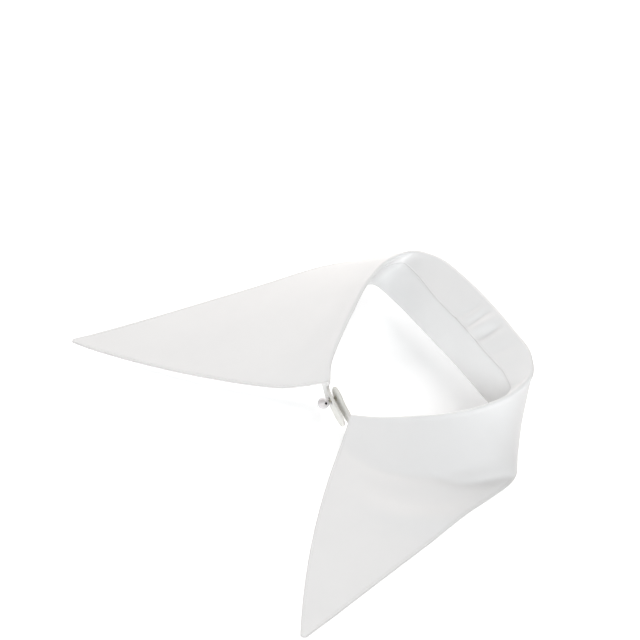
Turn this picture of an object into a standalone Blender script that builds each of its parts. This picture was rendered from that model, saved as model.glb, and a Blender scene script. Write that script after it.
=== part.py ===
"""Detachable shirt collar, fastened at the neck and standing on a table.

Metres, +Z up. The collar faces -Y, the wearer's left is +X, and z = 0 is the table.
Three pieces, each a closed solid: the neck band, the leaf (the turned-over collar with
its two long points) and the ball button that goes through the band's buttonhole.
"""
import math

import bmesh
import bpy
import numpy as np
from mathutils import Vector

MM = 0.001

# Cloth and sewing
LEAF_THICKNESS = 1.2          # starched leaf, two plies and interlining, mm
BAND_THICKNESS = 1.6          # starched neck band, mm
SEAM_GAP = 0.3                # clear space between neighbouring pieces, mm
ROLL_RADIUS = 1.1             # middle of the cloth, where the leaf turns over, mm
VALLEY_SOFTNESS = 0.16        # how much of the leaf's depth a soft bend takes up
LYING_SLOPE = 0.7             # upward part of a cloth's normal, above which it lies on the table

# Mesh density
NECK_STEPS = 60               # along the neck edge, from one front corner to the other
RISE_STEPS = 3                # seam to roll
ROLL_STEPS = 4                # over the roll
FALL_STEPS = 11               # roll to hem
BAND_STEPS = 4                # across the band
END_STEPS = 9                 # along each free end of the band

# Ball button and its buttonhole; Y runs through the cloth at the front
BALL_DIAMETER = 7.0
SHANK_DIAMETER = 2.0
FOOT_RADIUS = 1.7             # where the shank is sewn to the inner end of the band
FOOT_HEIGHT = 0.5
BUTTON_X = -5.4
BUTTON_Z = 12.0
BUTTON_FOOT_Y = -62.9         # just clear of the inner end's cloth
BUTTON_REACH = 8.4            # foot to the middle of the ball
BUTTON_SIDES = 20
HOLE_LENGTH = 6.0
HOLE_WIDTH = 2.8
HOLE_Y = -66.4
HOLE_DEPTH = 5.4

TIP_FLAT = 0.93               # how far a free end's round tip is carried on
CENTRE_SHIFT = 56.03           # moves the whole collar so that its box is centred, mm

# The neck's rows run from the wearer's right front corner round the back to the left one.
# x, y, z place the top of the roll and low_x, low_y, low_z the band's bottom edge. The
# seam lies seam_share of the way down between them, and seam_in mm towards the neck.
NECK_COLUMNS = ("x", "y", "z", "low_x", "low_y", "low_z", "seam_share", "seam_in")
NECK_ROWS = (
    (-14.5, -62.5, 17.5, -17.0, -63.0,  4.5, 0.25, 0.0),    # right front corner
    (-27.0, -54.0, 19.8, -33.0, -57.0,  5.0, 0.25, -0.8),
    (-39.8, -40.0, 23.8, -50.0, -45.0,  6.0, 0.26, -1.0),
    (-52.8, -23.5, 28.6, -67.0, -28.0,  8.0, 0.26, -1.0),
    (-65.5,  -4.5, 34.5, -80.0,  -9.0, 10.0, 0.25, -1.0),    # right side
    (-70.5,  13.5, 40.0, -86.5,   4.0, 11.5, 0.23, 0.2),
    (-66.5,  26.5, 43.8, -82.0,  10.5, 12.0, 0.22, 2.4),    # right back corner
    (-53.5,  34.5, 46.3, -64.0,  12.8, 12.0, 0.27, 5.8),
    (-27.0,  38.6, 47.8, -30.0,  14.0, 12.0, 0.30, 9.6),
    (0.0,    39.4, 48.0,   0.0,  14.5, 12.0, 0.30, 9.8),    # centre back
    (27.0,   38.4, 47.7,  30.0,  14.0, 12.0, 0.30, 9.8),
    (52.0,   35.6, 46.8,  54.0,  12.5, 12.0, 0.28, 9.0),
    (65.0,   27.5, 44.2,  66.0,   8.0, 12.0, 0.26, 7.0),    # left back corner
    (68.2,   14.5, 40.4,  70.0,   0.0, 11.5, 0.24, 5.0),
    (64.0,   -3.5, 34.3,  68.0, -13.0, 10.0, 0.25, 3.5),    # left side
    (54.0,  -21.5, 28.4,  58.0, -29.0,  8.0, 0.26, 2.5),
    (40.0,  -39.5, 22.9,  44.0, -45.0,  6.0, 0.26, 1.5),
    (27.5,  -53.5, 18.6,  30.0, -57.0,  5.0, 0.25, 0.5),
    (15.5,  -65.0, 16.0,  17.0, -66.0,  4.0, 0.25, 0.0),    # left front corner
)

# The leaf's outer edge at the same stations. x, y and z place the edge; bend_at is how
# far down the leaf its soft bend lies, as a share of the depth, and bend_drop how far
# the bend lies below the straight line, in mm; bow swings the section's middle towards
# the front, in mm.
LEAF_COLUMNS = ("x", "y", "z", "bend_at", "bend_drop", "bow")
LEAF_ROWS = (
    (-143.7, -173.5, -0.3, 0.16,  8.0, 7.5),    # right point
    (-136.0, -130.0, 2.0, 0.20,  7.5, 5.0),
    (-130.6,  -90.0, 3.4, 0.28,  6.5, 2.5),
    (-125.4,  -50.0, 4.8, 0.40,  4.5, 1.0),
    (-120.0,   -8.0, 6.6, 0.55,  2.0, 0.0),    # right hem corner
    (-112.0,   15.0, 7.6, 0.60, -1.5, 0.0),
    (-98.0,    41.0, 8.6, 0.60, -1.5, 0.0),
    (-70.0,    57.0, 4.0, 0.60,  0.0, 0.0),
    (-34.0,    60.5, -0.4, 0.60,  0.0, 0.0),
    (-3.0,     58.5, -0.4, 0.60,  0.0, 0.0),    # centre back
    (20.0,     53.0, -0.4, 0.60,  0.0, 0.0),
    (40.0,     42.0, -0.4, 0.60,  0.0, 0.0),
    (59.0,     26.5, -0.4, 0.60,  0.0, 0.0),
    (78.0,     12.0, -0.4, 0.65,  0.5, 0.0),
    (96.5,     -2.5, 1.0, 0.75,  2.0, 0.0),    # left hem corner
    (109.3,   -45.0, 2.2, 0.48,  6.5, 1.0),
    (120.5,   -86.0, 2.0, 0.32,  7.0, 2.5),
    (131.5,  -127.0, 1.2, 0.20,  6.0, 4.5),
    (143.7,  -172.6, -0.3, 0.12,  4.5, 6.5),    # left point
)

# The band's two free ends cross at the front, the right one outside. Each row is a
# station along the end: its place, and its top and bottom edges' heights.
END_COLUMNS = ("x", "y", "high", "low")
RIGHT_END_ROWS = (
    (-9.0, -65.0, 15.4, 6.0),
    (-2.0, -66.3, 14.8, 4.6),
    (5.0,  -66.9, 12.8, 3.2),
    (12.0, -67.2, 10.6, 3.0),
)
LEFT_END_ROWS = (
    (11.0, -62.9, 12.5, 3.6),
    (4.0,  -62.0, 13.6, 4.0),
    (-4.0, -61.6, 17.8, 6.0),
    (-12.5, -60.6, 17.4, 7.6),
)

PROFILE_POINTS = 41           # points along one fall before it is resampled
ROLL_AIM = 9.0                # how far down the fall the roll looks for its direction
MOST_OF_RISE = 0.8            # share of the rise the roll may use up
FALL_STEP_LEAST = 1.0         # least step from the roll to the fall's next point
FALL_GRADING = 1.1            # the fall's rows open out a little towards its edge
HALF_TURN_STEPS = 6           # facets round each end of the buttonhole
ARC_STEPS = 9                 # rings along the button's ball
SHARP_ANGLE = math.radians(40.0)
COLLAR_WHITE = (0.86, 0.86, 0.85, 1.0)
PEARL_WHITE = (0.84, 0.84, 0.82, 1.0)
COTTON_ROUGHNESS = 0.75
PEARL_ROUGHNESS = 0.25


def clear_scene():
    """Remove whatever the scene holds."""
    for item in list(bpy.data.objects):
        bpy.data.objects.remove(item, do_unlink=True)


def make_material(name, colour, roughness):
    """One Principled material."""
    material = bpy.data.materials.new(name)
    material.use_nodes = True
    shader = material.node_tree.nodes["Principled BSDF"]
    shader.inputs["Base Color"].default_value = colour
    shader.inputs["Roughness"].default_value = roughness
    return material


def table_columns(rows, columns):
    """A table's columns by name."""
    values = np.array(rows)
    return {name: values[:, index] for index, name in enumerate(columns)}


def smooth_through(knots, values, where):
    """Read a smooth cubic curve through the rows' values (slopes from the neighbours)."""
    slopes = np.gradient(values, knots)
    index = np.clip(np.searchsorted(knots, where, side="right") - 1, 0, len(knots) - 2)
    width = knots[index + 1] - knots[index]
    t = (where - knots[index]) / width
    start = (2 * t**3 - 3 * t**2 + 1) * values[index] + (t**3 - 2 * t**2 + t) * width * slopes[index]
    end = (-2 * t**3 + 3 * t**2) * values[index + 1] + (t**3 - t**2) * width * slopes[index + 1]
    return start + end


def read_table(rows, columns, knots, where):
    """Every column of a table, read at the asked stations."""
    table = table_columns(rows, columns)
    return {name: smooth_through(knots, table[name], where) for name in columns}


def unit(vectors):
    """Vectors scaled to length 1."""
    return vectors / np.linalg.norm(vectors, axis=-1, keepdims=True)


def row_knots():
    """Distance along the neck edge at each row."""
    neck = table_columns(NECK_ROWS, NECK_COLUMNS)
    points = np.stack([neck["x"], neck["y"], neck["z"]], axis=1)
    return np.concatenate([[0.0], np.cumsum(np.linalg.norm(np.diff(points, axis=0), axis=1))])


def neck_lines(where):
    """Roll top, the seam's two edges and the band's bottom edge at the asked stations."""
    neck = read_table(NECK_ROWS, NECK_COLUMNS, row_knots(), where)
    top = np.stack([neck["x"], neck["y"], neck["z"]], axis=1)
    low = np.stack([neck["low_x"], neck["low_y"], neck["low_z"]], axis=1)
    along = unit(np.gradient(top[:, :2], axis=0))
    inward = np.stack([along[:, 1], -along[:, 0], np.zeros(len(along))], axis=1)
    seam = top + (low - top) * neck["seam_share"][:, None] + inward * neck["seam_in"][:, None]
    up = unit(top - seam)
    down = unit(low - seam)
    bend = np.pi - np.arccos(np.clip((up * down).sum(axis=1), -1.0, 1.0))
    clear = (SEAM_GAP / 2 + BAND_THICKNESS / 2 * np.tan(bend / 2))[:, None]
    return top, seam + up * clear, seam + down * clear, low


def soft_tent(share, peak):
    """A tent from 0 at both ends to 1 at the peak, with its ridge rounded off."""
    rising = share / peak
    falling = (1.0 - share) / (1.0 - peak)
    softness = VALLEY_SOFTNESS
    mixed = 0.5 * (rising + falling - np.sqrt((rising - falling) ** 2 + 4 * softness**2))
    at_start = 0.5 * (1.0 / (1.0 - peak) - np.sqrt((1.0 / (1.0 - peak)) ** 2 + 4 * softness**2))
    at_finish = 0.5 * (1.0 / peak - np.sqrt((1.0 / peak) ** 2 + 4 * softness**2))
    return mixed - at_start * (1.0 - share) - at_finish * share


def fall_profile(top, edge, bend_at, bend_drop, bow):
    """One section of the leaf from the roll to its outer edge."""
    share = np.linspace(0.0, 1.0, PROFILE_POINTS)[:, None]
    line = top + (edge - top) * share
    forward = np.array([edge[1] - top[1], top[0] - edge[0], 0.0])
    forward = forward / np.linalg.norm(forward) * (-1.0 if forward[1] > 0 else 1.0)
    line = line + forward * bow * 4.0 * share * (1.0 - share)
    line[:, 2] -= bend_drop * soft_tent(share[:, 0], bend_at)
    return line


def resample(points, shares):
    """Points at given shares of a polyline's length."""
    steps = np.linalg.norm(np.diff(points, axis=0), axis=1)
    length = np.concatenate([[0.0], np.cumsum(steps)])
    wanted = np.asarray(shares) * length[-1]
    return np.stack([np.interp(wanted, length, points[:, axis]) for axis in range(3)], axis=1)


def leaf_section(top, seam, profile):
    """Seam, rise, roll and fall as one line of points across the leaf."""
    ahead = profile[np.searchsorted(np.linalg.norm(profile - top, axis=1), ROLL_AIM)]
    to_seam = unit(seam - top)
    to_fall = unit(ahead - top)
    half = 0.5 * math.acos(float(np.clip(to_seam @ to_fall, -1.0, 1.0)))
    rise = np.linalg.norm(seam - top)
    radius = min(ROLL_RADIUS, MOST_OF_RISE * rise * math.tan(half))
    inward = unit(to_seam + to_fall)
    corner = top - inward * radius * (1.0 / math.sin(half) - 1.0)
    reach = radius / math.tan(half)
    centre = corner + inward * radius / math.sin(half)
    first = corner + to_seam * reach
    last = corner + to_fall * reach
    rise_part = [seam + (first - seam) * step / RISE_STEPS for step in range(RISE_STEPS)]
    arm_a = first - centre
    arm_b = last - centre
    swing = math.acos(float(np.clip(unit(arm_a) @ unit(arm_b), -1.0, 1.0)))
    roll_part = []
    for step in range(ROLL_STEPS + 1):
        angle = swing * step / ROLL_STEPS
        mix = math.sin(swing - angle) * arm_a + math.sin(angle) * arm_b
        roll_part.append(centre + mix / math.sin(swing))
    beyond = profile[np.linalg.norm(profile - top, axis=1) > reach + FALL_STEP_LEAST]
    fall = np.concatenate([[last], beyond])
    fall_part = resample(fall, np.linspace(0.0, 1.0, FALL_STEPS + 1) ** FALL_GRADING)[1:]
    return np.concatenate([rise_part, roll_part, fall_part])


def leaf_grid():
    """The leaf's middle surface: one row of points for each station along the neck."""
    knots = row_knots()
    where = np.linspace(0.0, knots[-1], NECK_STEPS + 1)
    top, seam, _, _ = neck_lines(where)
    leaf = read_table(LEAF_ROWS, LEAF_COLUMNS, knots, where)
    rows = []
    for index in range(len(where)):
        edge = np.array([leaf["x"][index], leaf["y"][index], leaf["z"][index]])
        bend = (leaf["bend_at"][index], leaf["bend_drop"][index], leaf["bow"][index])
        profile = fall_profile(top[index], edge, *bend)
        rows.append(leaf_section(top[index], seam[index], profile))
    return np.array(rows)


def end_edges(rows, neck_upper, neck_lower):
    """Upper and lower edges of one free end, carried on from the band's last two stations."""
    table = table_columns(rows, END_COLUMNS)
    upper_rows = np.stack([table["x"], table["y"], table["high"]], axis=1)
    lower_rows = np.stack([table["x"], table["y"], table["low"]], axis=1)
    edges = []
    for neck, own in ((neck_upper, upper_rows), (neck_lower, lower_rows)):
        points = np.concatenate([neck, own])
        knots = np.concatenate([[0.0], np.cumsum(np.linalg.norm(np.diff(points, axis=0), axis=1))])
        where = np.linspace(knots[1], knots[-1], END_STEPS + 1)[1:]
        edges.append(np.stack([smooth_through(knots, points[:, axis], where) for axis in range(3)], axis=1))
    upper, lower = edges
    middle = (upper + lower) / 2
    half_height = np.linalg.norm(upper[-1] - lower[-1]) / 2
    from_tip = np.linalg.norm(middle - middle[-1], axis=1)
    inside = np.clip(1.0 - from_tip / half_height, 0.0, TIP_FLAT)
    narrowing = np.sqrt(1.0 - inside**2)[:, None]
    return middle + (upper - middle) * narrowing, middle + (lower - middle) * narrowing


def band_grid():
    """The neck band's middle surface, from one free end round the neck to the other."""
    knots = row_knots()
    where = np.linspace(0.0, knots[-1], NECK_STEPS + 1)
    _, _, seam, low = neck_lines(where)
    right_upper, right_lower = end_edges(RIGHT_END_ROWS, seam[1::-1], low[1::-1])
    left_upper, left_lower = end_edges(LEFT_END_ROWS, seam[-2:], low[-2:])
    upper = np.concatenate([right_upper[::-1], seam, left_upper])
    lower = np.concatenate([right_lower[::-1], low, left_lower])
    shares = np.linspace(0.0, 1.0, BAND_STEPS + 1)[None, :, None]
    return upper[:, None, :] + (lower - upper)[:, None, :] * shares


def grid_normals(grid):
    """Unit normals of a grid of points."""
    along = np.gradient(grid, axis=0)
    across = np.gradient(grid, axis=1)
    return unit(np.cross(along, across))


def thick_sheet(name, grid, thickness, material):
    """A closed wall of the given thickness about a grid of points, cut flat at the table."""
    normals = grid_normals(grid)
    grid = grid.copy()
    lying = np.abs(normals[:, :, 2]) > LYING_SLOPE
    grid[:, :, 2] = np.where(lying, np.maximum(grid[:, :, 2], thickness / 2), grid[:, :, 2])
    faces_out = grid + normals * thickness / 2
    faces_in = grid - normals * thickness / 2
    count_u, count_v = grid.shape[:2]
    mesh = bmesh.new()
    sides = []
    for points in (faces_out, faces_in):
        points = points.copy()
        points[:, :, 1] += CENTRE_SHIFT
        points[:, :, 2] = np.maximum(points[:, :, 2], 0.0)
        sides.append([[mesh.verts.new(Vector(point) * MM) for point in line] for line in points])
    outer, inner = sides
    for u in range(count_u - 1):
        for v in range(count_v - 1):
            mesh.faces.new((outer[u][v], outer[u + 1][v], outer[u + 1][v + 1], outer[u][v + 1]))
            mesh.faces.new((inner[u][v], inner[u][v + 1], inner[u + 1][v + 1], inner[u + 1][v]))
    for u in range(count_u - 1):
        mesh.faces.new((outer[u][0], inner[u][0], inner[u + 1][0], outer[u + 1][0]))
        mesh.faces.new((outer[u][-1], outer[u + 1][-1], inner[u + 1][-1], inner[u][-1]))
    for v in range(count_v - 1):
        mesh.faces.new((outer[0][v], outer[0][v + 1], inner[0][v + 1], inner[0][v]))
        mesh.faces.new((outer[-1][v], inner[-1][v], inner[-1][v + 1], outer[-1][v + 1]))
    return finish_object(name, mesh, material)


def finish_object(name, mesh, material):
    """Turn a bmesh into a shaded object with its material."""
    bmesh.ops.triangulate(mesh, faces=mesh.faces)
    bmesh.ops.recalc_face_normals(mesh, faces=mesh.faces)
    data = bpy.data.meshes.new(name)
    mesh.to_mesh(data)
    mesh.free()
    data.materials.append(material)
    data.shade_smooth()
    data.set_sharp_from_angle(angle=SHARP_ANGLE)
    piece = bpy.data.objects.new(name, data)
    bpy.context.scene.collection.objects.link(piece)
    return piece


def slot_cutter(name, centre, length, width, depth):
    """A round-ended bar along X, pushed through along Y, that cuts the buttonhole."""
    mesh = bmesh.new()
    corners = []
    for side, middle in ((1, length / 2 - width / 2), (-1, width / 2 - length / 2)):
        for step in range(HALF_TURN_STEPS + 1):
            angle = math.pi * (step / HALF_TURN_STEPS - 0.5)
            corners.append((middle + side * math.cos(angle) * width / 2, side * math.sin(angle) * width / 2))
    loops = []
    for y in (-depth / 2, depth / 2):
        loops.append([mesh.verts.new(Vector((x, y, z)) * MM) for x, z in corners])
    front, back = loops
    mesh.faces.new(front)
    mesh.faces.new(back[::-1])
    for index in range(len(corners)):
        after = (index + 1) % len(corners)
        mesh.faces.new((front[index], back[index], back[after], front[after]))
    bmesh.ops.recalc_face_normals(mesh, faces=mesh.faces)
    data = bpy.data.meshes.new(name)
    mesh.to_mesh(data)
    mesh.free()
    cutter = bpy.data.objects.new(name, data)
    cutter.location = Vector(centre) * MM
    cutter.hide_render = True
    cutter.display_type = "WIRE"
    bpy.context.scene.collection.objects.link(cutter)
    return cutter


def ball_button(material):
    """Ball, shank and sewn foot, turned as one about the line through the buttonhole."""
    ball = BALL_DIAMETER / 2
    shank = SHANK_DIAMETER / 2
    ball_middle = BUTTON_FOOT_Y - BUTTON_REACH
    start_angle = math.asin(shank / ball)
    profile = [(BUTTON_FOOT_Y, FOOT_RADIUS), (BUTTON_FOOT_Y - FOOT_HEIGHT, FOOT_RADIUS)]
    profile.append((BUTTON_FOOT_Y - FOOT_HEIGHT, shank))
    for step in range(ARC_STEPS):
        angle = start_angle + (math.pi - start_angle) * step / ARC_STEPS
        profile.append((ball_middle + ball * math.cos(angle), ball * math.sin(angle)))
    mesh = bmesh.new()
    rings = []
    for along, radius in profile:
        ring = []
        for side in range(BUTTON_SIDES):
            turn = 2 * math.pi * side / BUTTON_SIDES
            out = radius * math.cos(turn)
            up = radius * math.sin(turn)
            place = Vector((BUTTON_X + out, along + CENTRE_SHIFT, BUTTON_Z + up))
            ring.append(mesh.verts.new(place * MM))
        rings.append(ring)
    for ring, following in zip(rings, rings[1:]):
        for side in range(BUTTON_SIDES):
            after = (side + 1) % BUTTON_SIDES
            mesh.faces.new((ring[side], ring[after], following[after], following[side]))
    mesh.faces.new(rings[0][::-1])
    pole = mesh.verts.new(Vector((BUTTON_X, ball_middle - ball + CENTRE_SHIFT, BUTTON_Z)) * MM)
    for side in range(BUTTON_SIDES):
        mesh.faces.new((rings[-1][side], rings[-1][(side + 1) % BUTTON_SIDES], pole))
    return finish_object("ball_button", mesh, material)


def main():
    clear_scene()
    cotton = make_material("starched_cotton", COLLAR_WHITE, COTTON_ROUGHNESS)
    pearl = make_material("pearl", PEARL_WHITE, PEARL_ROUGHNESS)
    thick_sheet("leaf", leaf_grid(), LEAF_THICKNESS, cotton)
    band = thick_sheet("neck_band", band_grid(), BAND_THICKNESS, cotton)
    hole = slot_cutter("buttonhole_cutter", (BUTTON_X, HOLE_Y + CENTRE_SHIFT, BUTTON_Z),
                       HOLE_LENGTH, HOLE_WIDTH, HOLE_DEPTH)
    cut = band.modifiers.new("buttonhole", "BOOLEAN")
    cut.object = hole
    cut.operation = "DIFFERENCE"
    cut.solver = "EXACT"
    ball_button(pearl)


main()
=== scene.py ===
# %% [markdown]
# # A detachable shirt collar
# A detachable collar is worn over a plain shirt, and buttons in front with one ball button. It
# has three parts: the leaf, which turns over and ends in two long points, the neck band that
# the leaf is sewn to, and the button. Here the collar is fastened and stands on a table.
#
# The frame holds the collar's solids at their real size. They give collision and mass, and
# their faces are coarse. Each one is replaced here by a finer piece on the same sections.

# %% Open the frame
import math

import bmesh
import bpy
import numpy as np
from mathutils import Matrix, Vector
from mathutils.bvhtree import BVHTree


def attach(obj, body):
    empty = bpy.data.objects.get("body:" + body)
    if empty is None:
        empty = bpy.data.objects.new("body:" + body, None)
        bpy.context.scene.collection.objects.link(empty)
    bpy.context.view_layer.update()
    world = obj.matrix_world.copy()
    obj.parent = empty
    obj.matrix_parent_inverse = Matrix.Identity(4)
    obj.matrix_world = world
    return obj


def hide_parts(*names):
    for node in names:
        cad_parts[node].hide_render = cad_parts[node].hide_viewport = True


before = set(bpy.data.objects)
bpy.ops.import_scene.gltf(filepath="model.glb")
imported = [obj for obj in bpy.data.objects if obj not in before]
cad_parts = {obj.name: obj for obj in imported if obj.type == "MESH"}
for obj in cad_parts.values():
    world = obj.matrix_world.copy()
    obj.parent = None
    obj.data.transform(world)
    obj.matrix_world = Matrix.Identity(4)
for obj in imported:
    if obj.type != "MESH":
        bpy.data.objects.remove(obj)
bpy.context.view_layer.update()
MM = 0.001

# %% [markdown]
# ## Camera
# The camera stands well back with a long lens, so the collar's near and far points keep their
# true sizes. A tripod is described by how far round it stands (azimuth), how high it looks
# from (elevation) and where it stands. Euler angles about X and Z are enough, because the
# camera isn't rolled.

# %% Set the camera
CAMERA_PLACE = (1.04561, -0.62507, 1.14784)
CAMERA_AZIMUTH = 59.976
CAMERA_ELEVATION = 41.366
CAMERA_LENS = 157.5
CAMERA_SENSOR = 36.0
CAMERA_FAR = 50.0
COLLAR_MIDDLE = Vector((0.0, 0.0, 0.02))

camera_data = bpy.data.cameras.new("camera")
camera_data.lens = CAMERA_LENS
camera_data.sensor_width = CAMERA_SENSOR
camera_data.clip_end = CAMERA_FAR
camera = bpy.data.objects.new("camera", camera_data)
camera.location = CAMERA_PLACE
camera.rotation_euler = (math.radians(90 - CAMERA_ELEVATION), 0.0, math.radians(CAMERA_AZIMUTH))
bpy.context.scene.collection.objects.link(camera)
bpy.context.scene.camera = camera
print("Camera to collar:", round((camera.location - COLLAR_MIDDLE).length, 3), "m")

# %% [markdown]
# ## Table and light
# White cloth on a white table is all soft light. If the light came from one side, the folds
# would turn hard and grey. So six large soft lamps stand round the table, each one a row of
# the table below: how far round it stands, how high it hangs and how strong it is. The two
# strongest stand near the camera, for the left wall, and behind the wearer's right, low
# enough for the fold in the left wing to show. The table top glows a little, so that it
# stays nearly white under the collar. The Standard view transform keeps the whites white.

# %% Lay the table and hang the lamps
TABLE_SIZE = 24.0
TABLE_DROP = 0.0001
TABLE_WHITE = (0.93, 0.93, 0.93, 1.0)
ROOM_WHITE = (1.0, 1.0, 1.0, 1.0)
ROOM_STRENGTH = 0.03
TABLE_GLOW = 0.42
LAMP_DISTANCE = 2.2
LAMP_SIZE = 1.3
TABLE_ROUGHNESS = 0.9
TABLE_SHINE = 0.1

LAMP_COLUMNS = ("name", "azimuth", "elevation", "power", "colour")
LAMP_ROWS = (
    ("front_lamp", 0.0, 18.0, 10.5, (1.0, 0.99, 0.98)),
    ("camera_lamp", 47.0, 23.0, 34.0, (0.94, 0.98, 1.0)),
    ("left_lamp", 95.0, 18.0, 3.0, (0.95, 0.985, 1.0)),
    ("back_lamp", 180.0, 50.0, 20.0, (1.0, 0.99, 0.98)),
    ("right_back_lamp", 228.0, 25.0, 29.0, (1.0, 0.985, 0.97)),
    ("right_lamp", 270.0, 24.0, 18.5, (1.0, 0.985, 0.97)),
)


def plain_mesh_object(name, points, faces):
    """A mesh object from points in metres and faces."""
    data = bpy.data.meshes.new(name)
    data.from_pydata([tuple(point) for point in points], [], faces)
    data.update()
    made = bpy.data.objects.new(name, data)
    bpy.context.scene.collection.objects.link(made)
    return made


def named_rows(rows, columns):
    """A table's rows, each as values by column name."""
    return [dict(zip(columns, row)) for row in rows]


def set_inputs(node, **values):
    """Set a node's sockets by name, with _ for each space."""
    for label, value in values.items():
        node.inputs[label.replace("_", " ")].default_value = value


def new_material(name):
    """An empty Principled material, its node tree and its shader."""
    material = bpy.data.materials.new(name)
    material.use_nodes = True
    return material, material.node_tree, material.node_tree.nodes["Principled BSDF"]


def hang_lamp(name, azimuth, elevation, power, colour):
    """A square area lamp that points at the collar from so far round and so high up."""
    round_way = math.radians(azimuth)
    up_way = math.radians(elevation)
    ahead = Vector((math.sin(round_way), -math.cos(round_way), 0.0))
    place = (ahead * math.cos(up_way) + Vector((0.0, 0.0, math.sin(up_way)))) * LAMP_DISTANCE
    data = bpy.data.lights.new(name, "AREA")
    data.shape = "SQUARE"
    data.size = LAMP_SIZE
    data.energy = power
    data.color = colour
    lamp = bpy.data.objects.new(name, data)
    lamp.visible_camera = False
    lamp.location = place
    lamp.rotation_euler = (-place).to_track_quat("-Z", "Y").to_euler()
    bpy.context.scene.collection.objects.link(lamp)
    return lamp


half = TABLE_SIZE / 2
table_corners = [(-half, -half), (half, -half), (half, half), (-half, half)]
table_points = [(x, y, -TABLE_DROP) for x, y in table_corners]
table_top = plain_mesh_object("table_top", table_points, [(0, 1, 2, 3)])
table_paint, _, table_shader = new_material("table_paint")
set_inputs(table_shader, Base_Color=TABLE_WHITE, Roughness=TABLE_ROUGHNESS)
set_inputs(table_shader, Specular_IOR_Level=TABLE_SHINE)
set_inputs(table_shader, Emission_Color=TABLE_WHITE, Emission_Strength=TABLE_GLOW)
table_top.data.materials.append(table_paint)

room = bpy.data.worlds.new("room")
room.use_nodes = True
set_inputs(room.node_tree.nodes["Background"], Color=ROOM_WHITE, Strength=ROOM_STRENGTH)
bpy.context.scene.world = room
bpy.context.scene.view_settings.view_transform = "Standard"
lamps = [hang_lamp(**row) for row in named_rows(LAMP_ROWS, LAMP_COLUMNS)]
print("Lamps:", [lamp.name for lamp in lamps])

# %% [markdown]
# ## The sections
# A tailor thinks of a collar as sections: cut it across anywhere, and the cut shows the band,
# the rise above the seam, the roll at the top and the fall down to the edge. The table below
# holds 19 such stations, from the wearer's right front corner round the back to the left one,
# in millimetres. A smooth curve is read through each column, so few rows give a fine surface.
#
# x, y, z place the top of the roll, and low_x, low_y, low_z the band's bottom edge. The seam
# lies seam_share of the way down between them, and seam_in mm towards the neck.

# %% Neck table
NECK_COLUMNS = ("x", "y", "z", "low_x", "low_y", "low_z", "seam_share", "seam_in")
NECK_ROWS = (
    (-14.5, -62.5, 17.5, -17.0, -63.0,  4.5, 0.25, 0.0),    # right front corner
    (-27.0, -54.0, 19.8, -33.0, -57.0,  5.0, 0.25, -0.8),
    (-39.8, -40.0, 23.8, -50.0, -45.0,  6.0, 0.26, -1.0),
    (-52.8, -23.5, 28.6, -67.0, -28.0,  8.0, 0.26, -1.0),
    (-65.5,  -4.5, 34.5, -80.0,  -9.0, 10.0, 0.25, -1.0),    # right side
    (-70.5,  13.5, 40.0, -86.5,   4.0, 11.5, 0.23, 0.2),
    (-66.5,  26.5, 43.8, -82.0,  10.5, 12.0, 0.22, 2.4),    # right back corner
    (-53.5,  34.5, 46.3, -64.0,  12.8, 12.0, 0.27, 5.8),
    (-27.0,  38.6, 47.8, -30.0,  14.0, 12.0, 0.30, 9.6),
    (0.0,    39.4, 48.0,   0.0,  14.5, 12.0, 0.30, 9.8),    # centre back
    (27.0,   38.4, 47.7,  30.0,  14.0, 12.0, 0.30, 9.8),
    (52.0,   35.6, 46.8,  54.0,  12.5, 12.0, 0.28, 9.0),
    (65.0,   27.5, 44.2,  66.0,   8.0, 12.0, 0.26, 7.0),    # left back corner
    (68.2,   14.5, 40.4,  70.0,   0.0, 11.5, 0.24, 5.0),
    (64.0,   -3.5, 34.3,  68.0, -13.0, 10.0, 0.25, 3.5),    # left side
    (54.0,  -21.5, 28.4,  58.0, -29.0,  8.0, 0.26, 2.5),
    (40.0,  -39.5, 22.9,  44.0, -45.0,  6.0, 0.26, 1.5),
    (27.5,  -53.5, 18.6,  30.0, -57.0,  5.0, 0.25, 0.5),
    (15.5,  -65.0, 16.0,  17.0, -66.0,  4.0, 0.25, 0.0),    # left front corner
)
CENTRE_BACK_ROW = 9
CENTRE_SHIFT = 56.03           # moves the whole collar so that its box is centred, mm


def table_columns(rows, columns):
    """A table's columns by name."""
    values = np.array(rows)
    return {name: values[:, index] for index, name in enumerate(columns)}


def smooth_through(knots, values, where):
    """Read a smooth cubic curve through the rows' values (slopes from the neighbours)."""
    slopes = np.gradient(values, knots)
    index = np.clip(np.searchsorted(knots, where, side="right") - 1, 0, len(knots) - 2)
    width = knots[index + 1] - knots[index]
    t = (where - knots[index]) / width
    start = (2 * t**3 - 3 * t**2 + 1) * values[index]
    start = start + (t**3 - 2 * t**2 + t) * width * slopes[index]
    end = (-2 * t**3 + 3 * t**2) * values[index + 1] + (t**3 - t**2) * width * slopes[index + 1]
    return start + end


def read_table(rows, columns, knots, where):
    """Every column of a table, read at the asked stations."""
    table = table_columns(rows, columns)
    return {name: smooth_through(knots, table[name], where) for name in columns}


def unit(vectors):
    """Vectors scaled to length 1."""
    return vectors / np.linalg.norm(vectors, axis=-1, keepdims=True)


def lengths_along(points):
    """Distance along a line of points, from its first one."""
    steps = np.linalg.norm(np.diff(points, axis=0), axis=1)
    return np.concatenate([[0.0], np.cumsum(steps)])


neck_table = table_columns(NECK_ROWS, NECK_COLUMNS)
NECK_KNOTS = lengths_along(np.stack([neck_table["x"], neck_table["y"], neck_table["z"]], axis=1))
NECK_LENGTH = NECK_KNOTS[-1]
print("Neck edge:", round(NECK_LENGTH, 1), "mm")

# %% [markdown]
# ## Where the sections are cut
# A cloth's edge is round, has a groove where the machine stitched it, and carries a slightly
# thicker strip where the seam allowance is folded in. All of that happens in the first few
# millimetres, so the grid is close there and wider in the middle.

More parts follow.
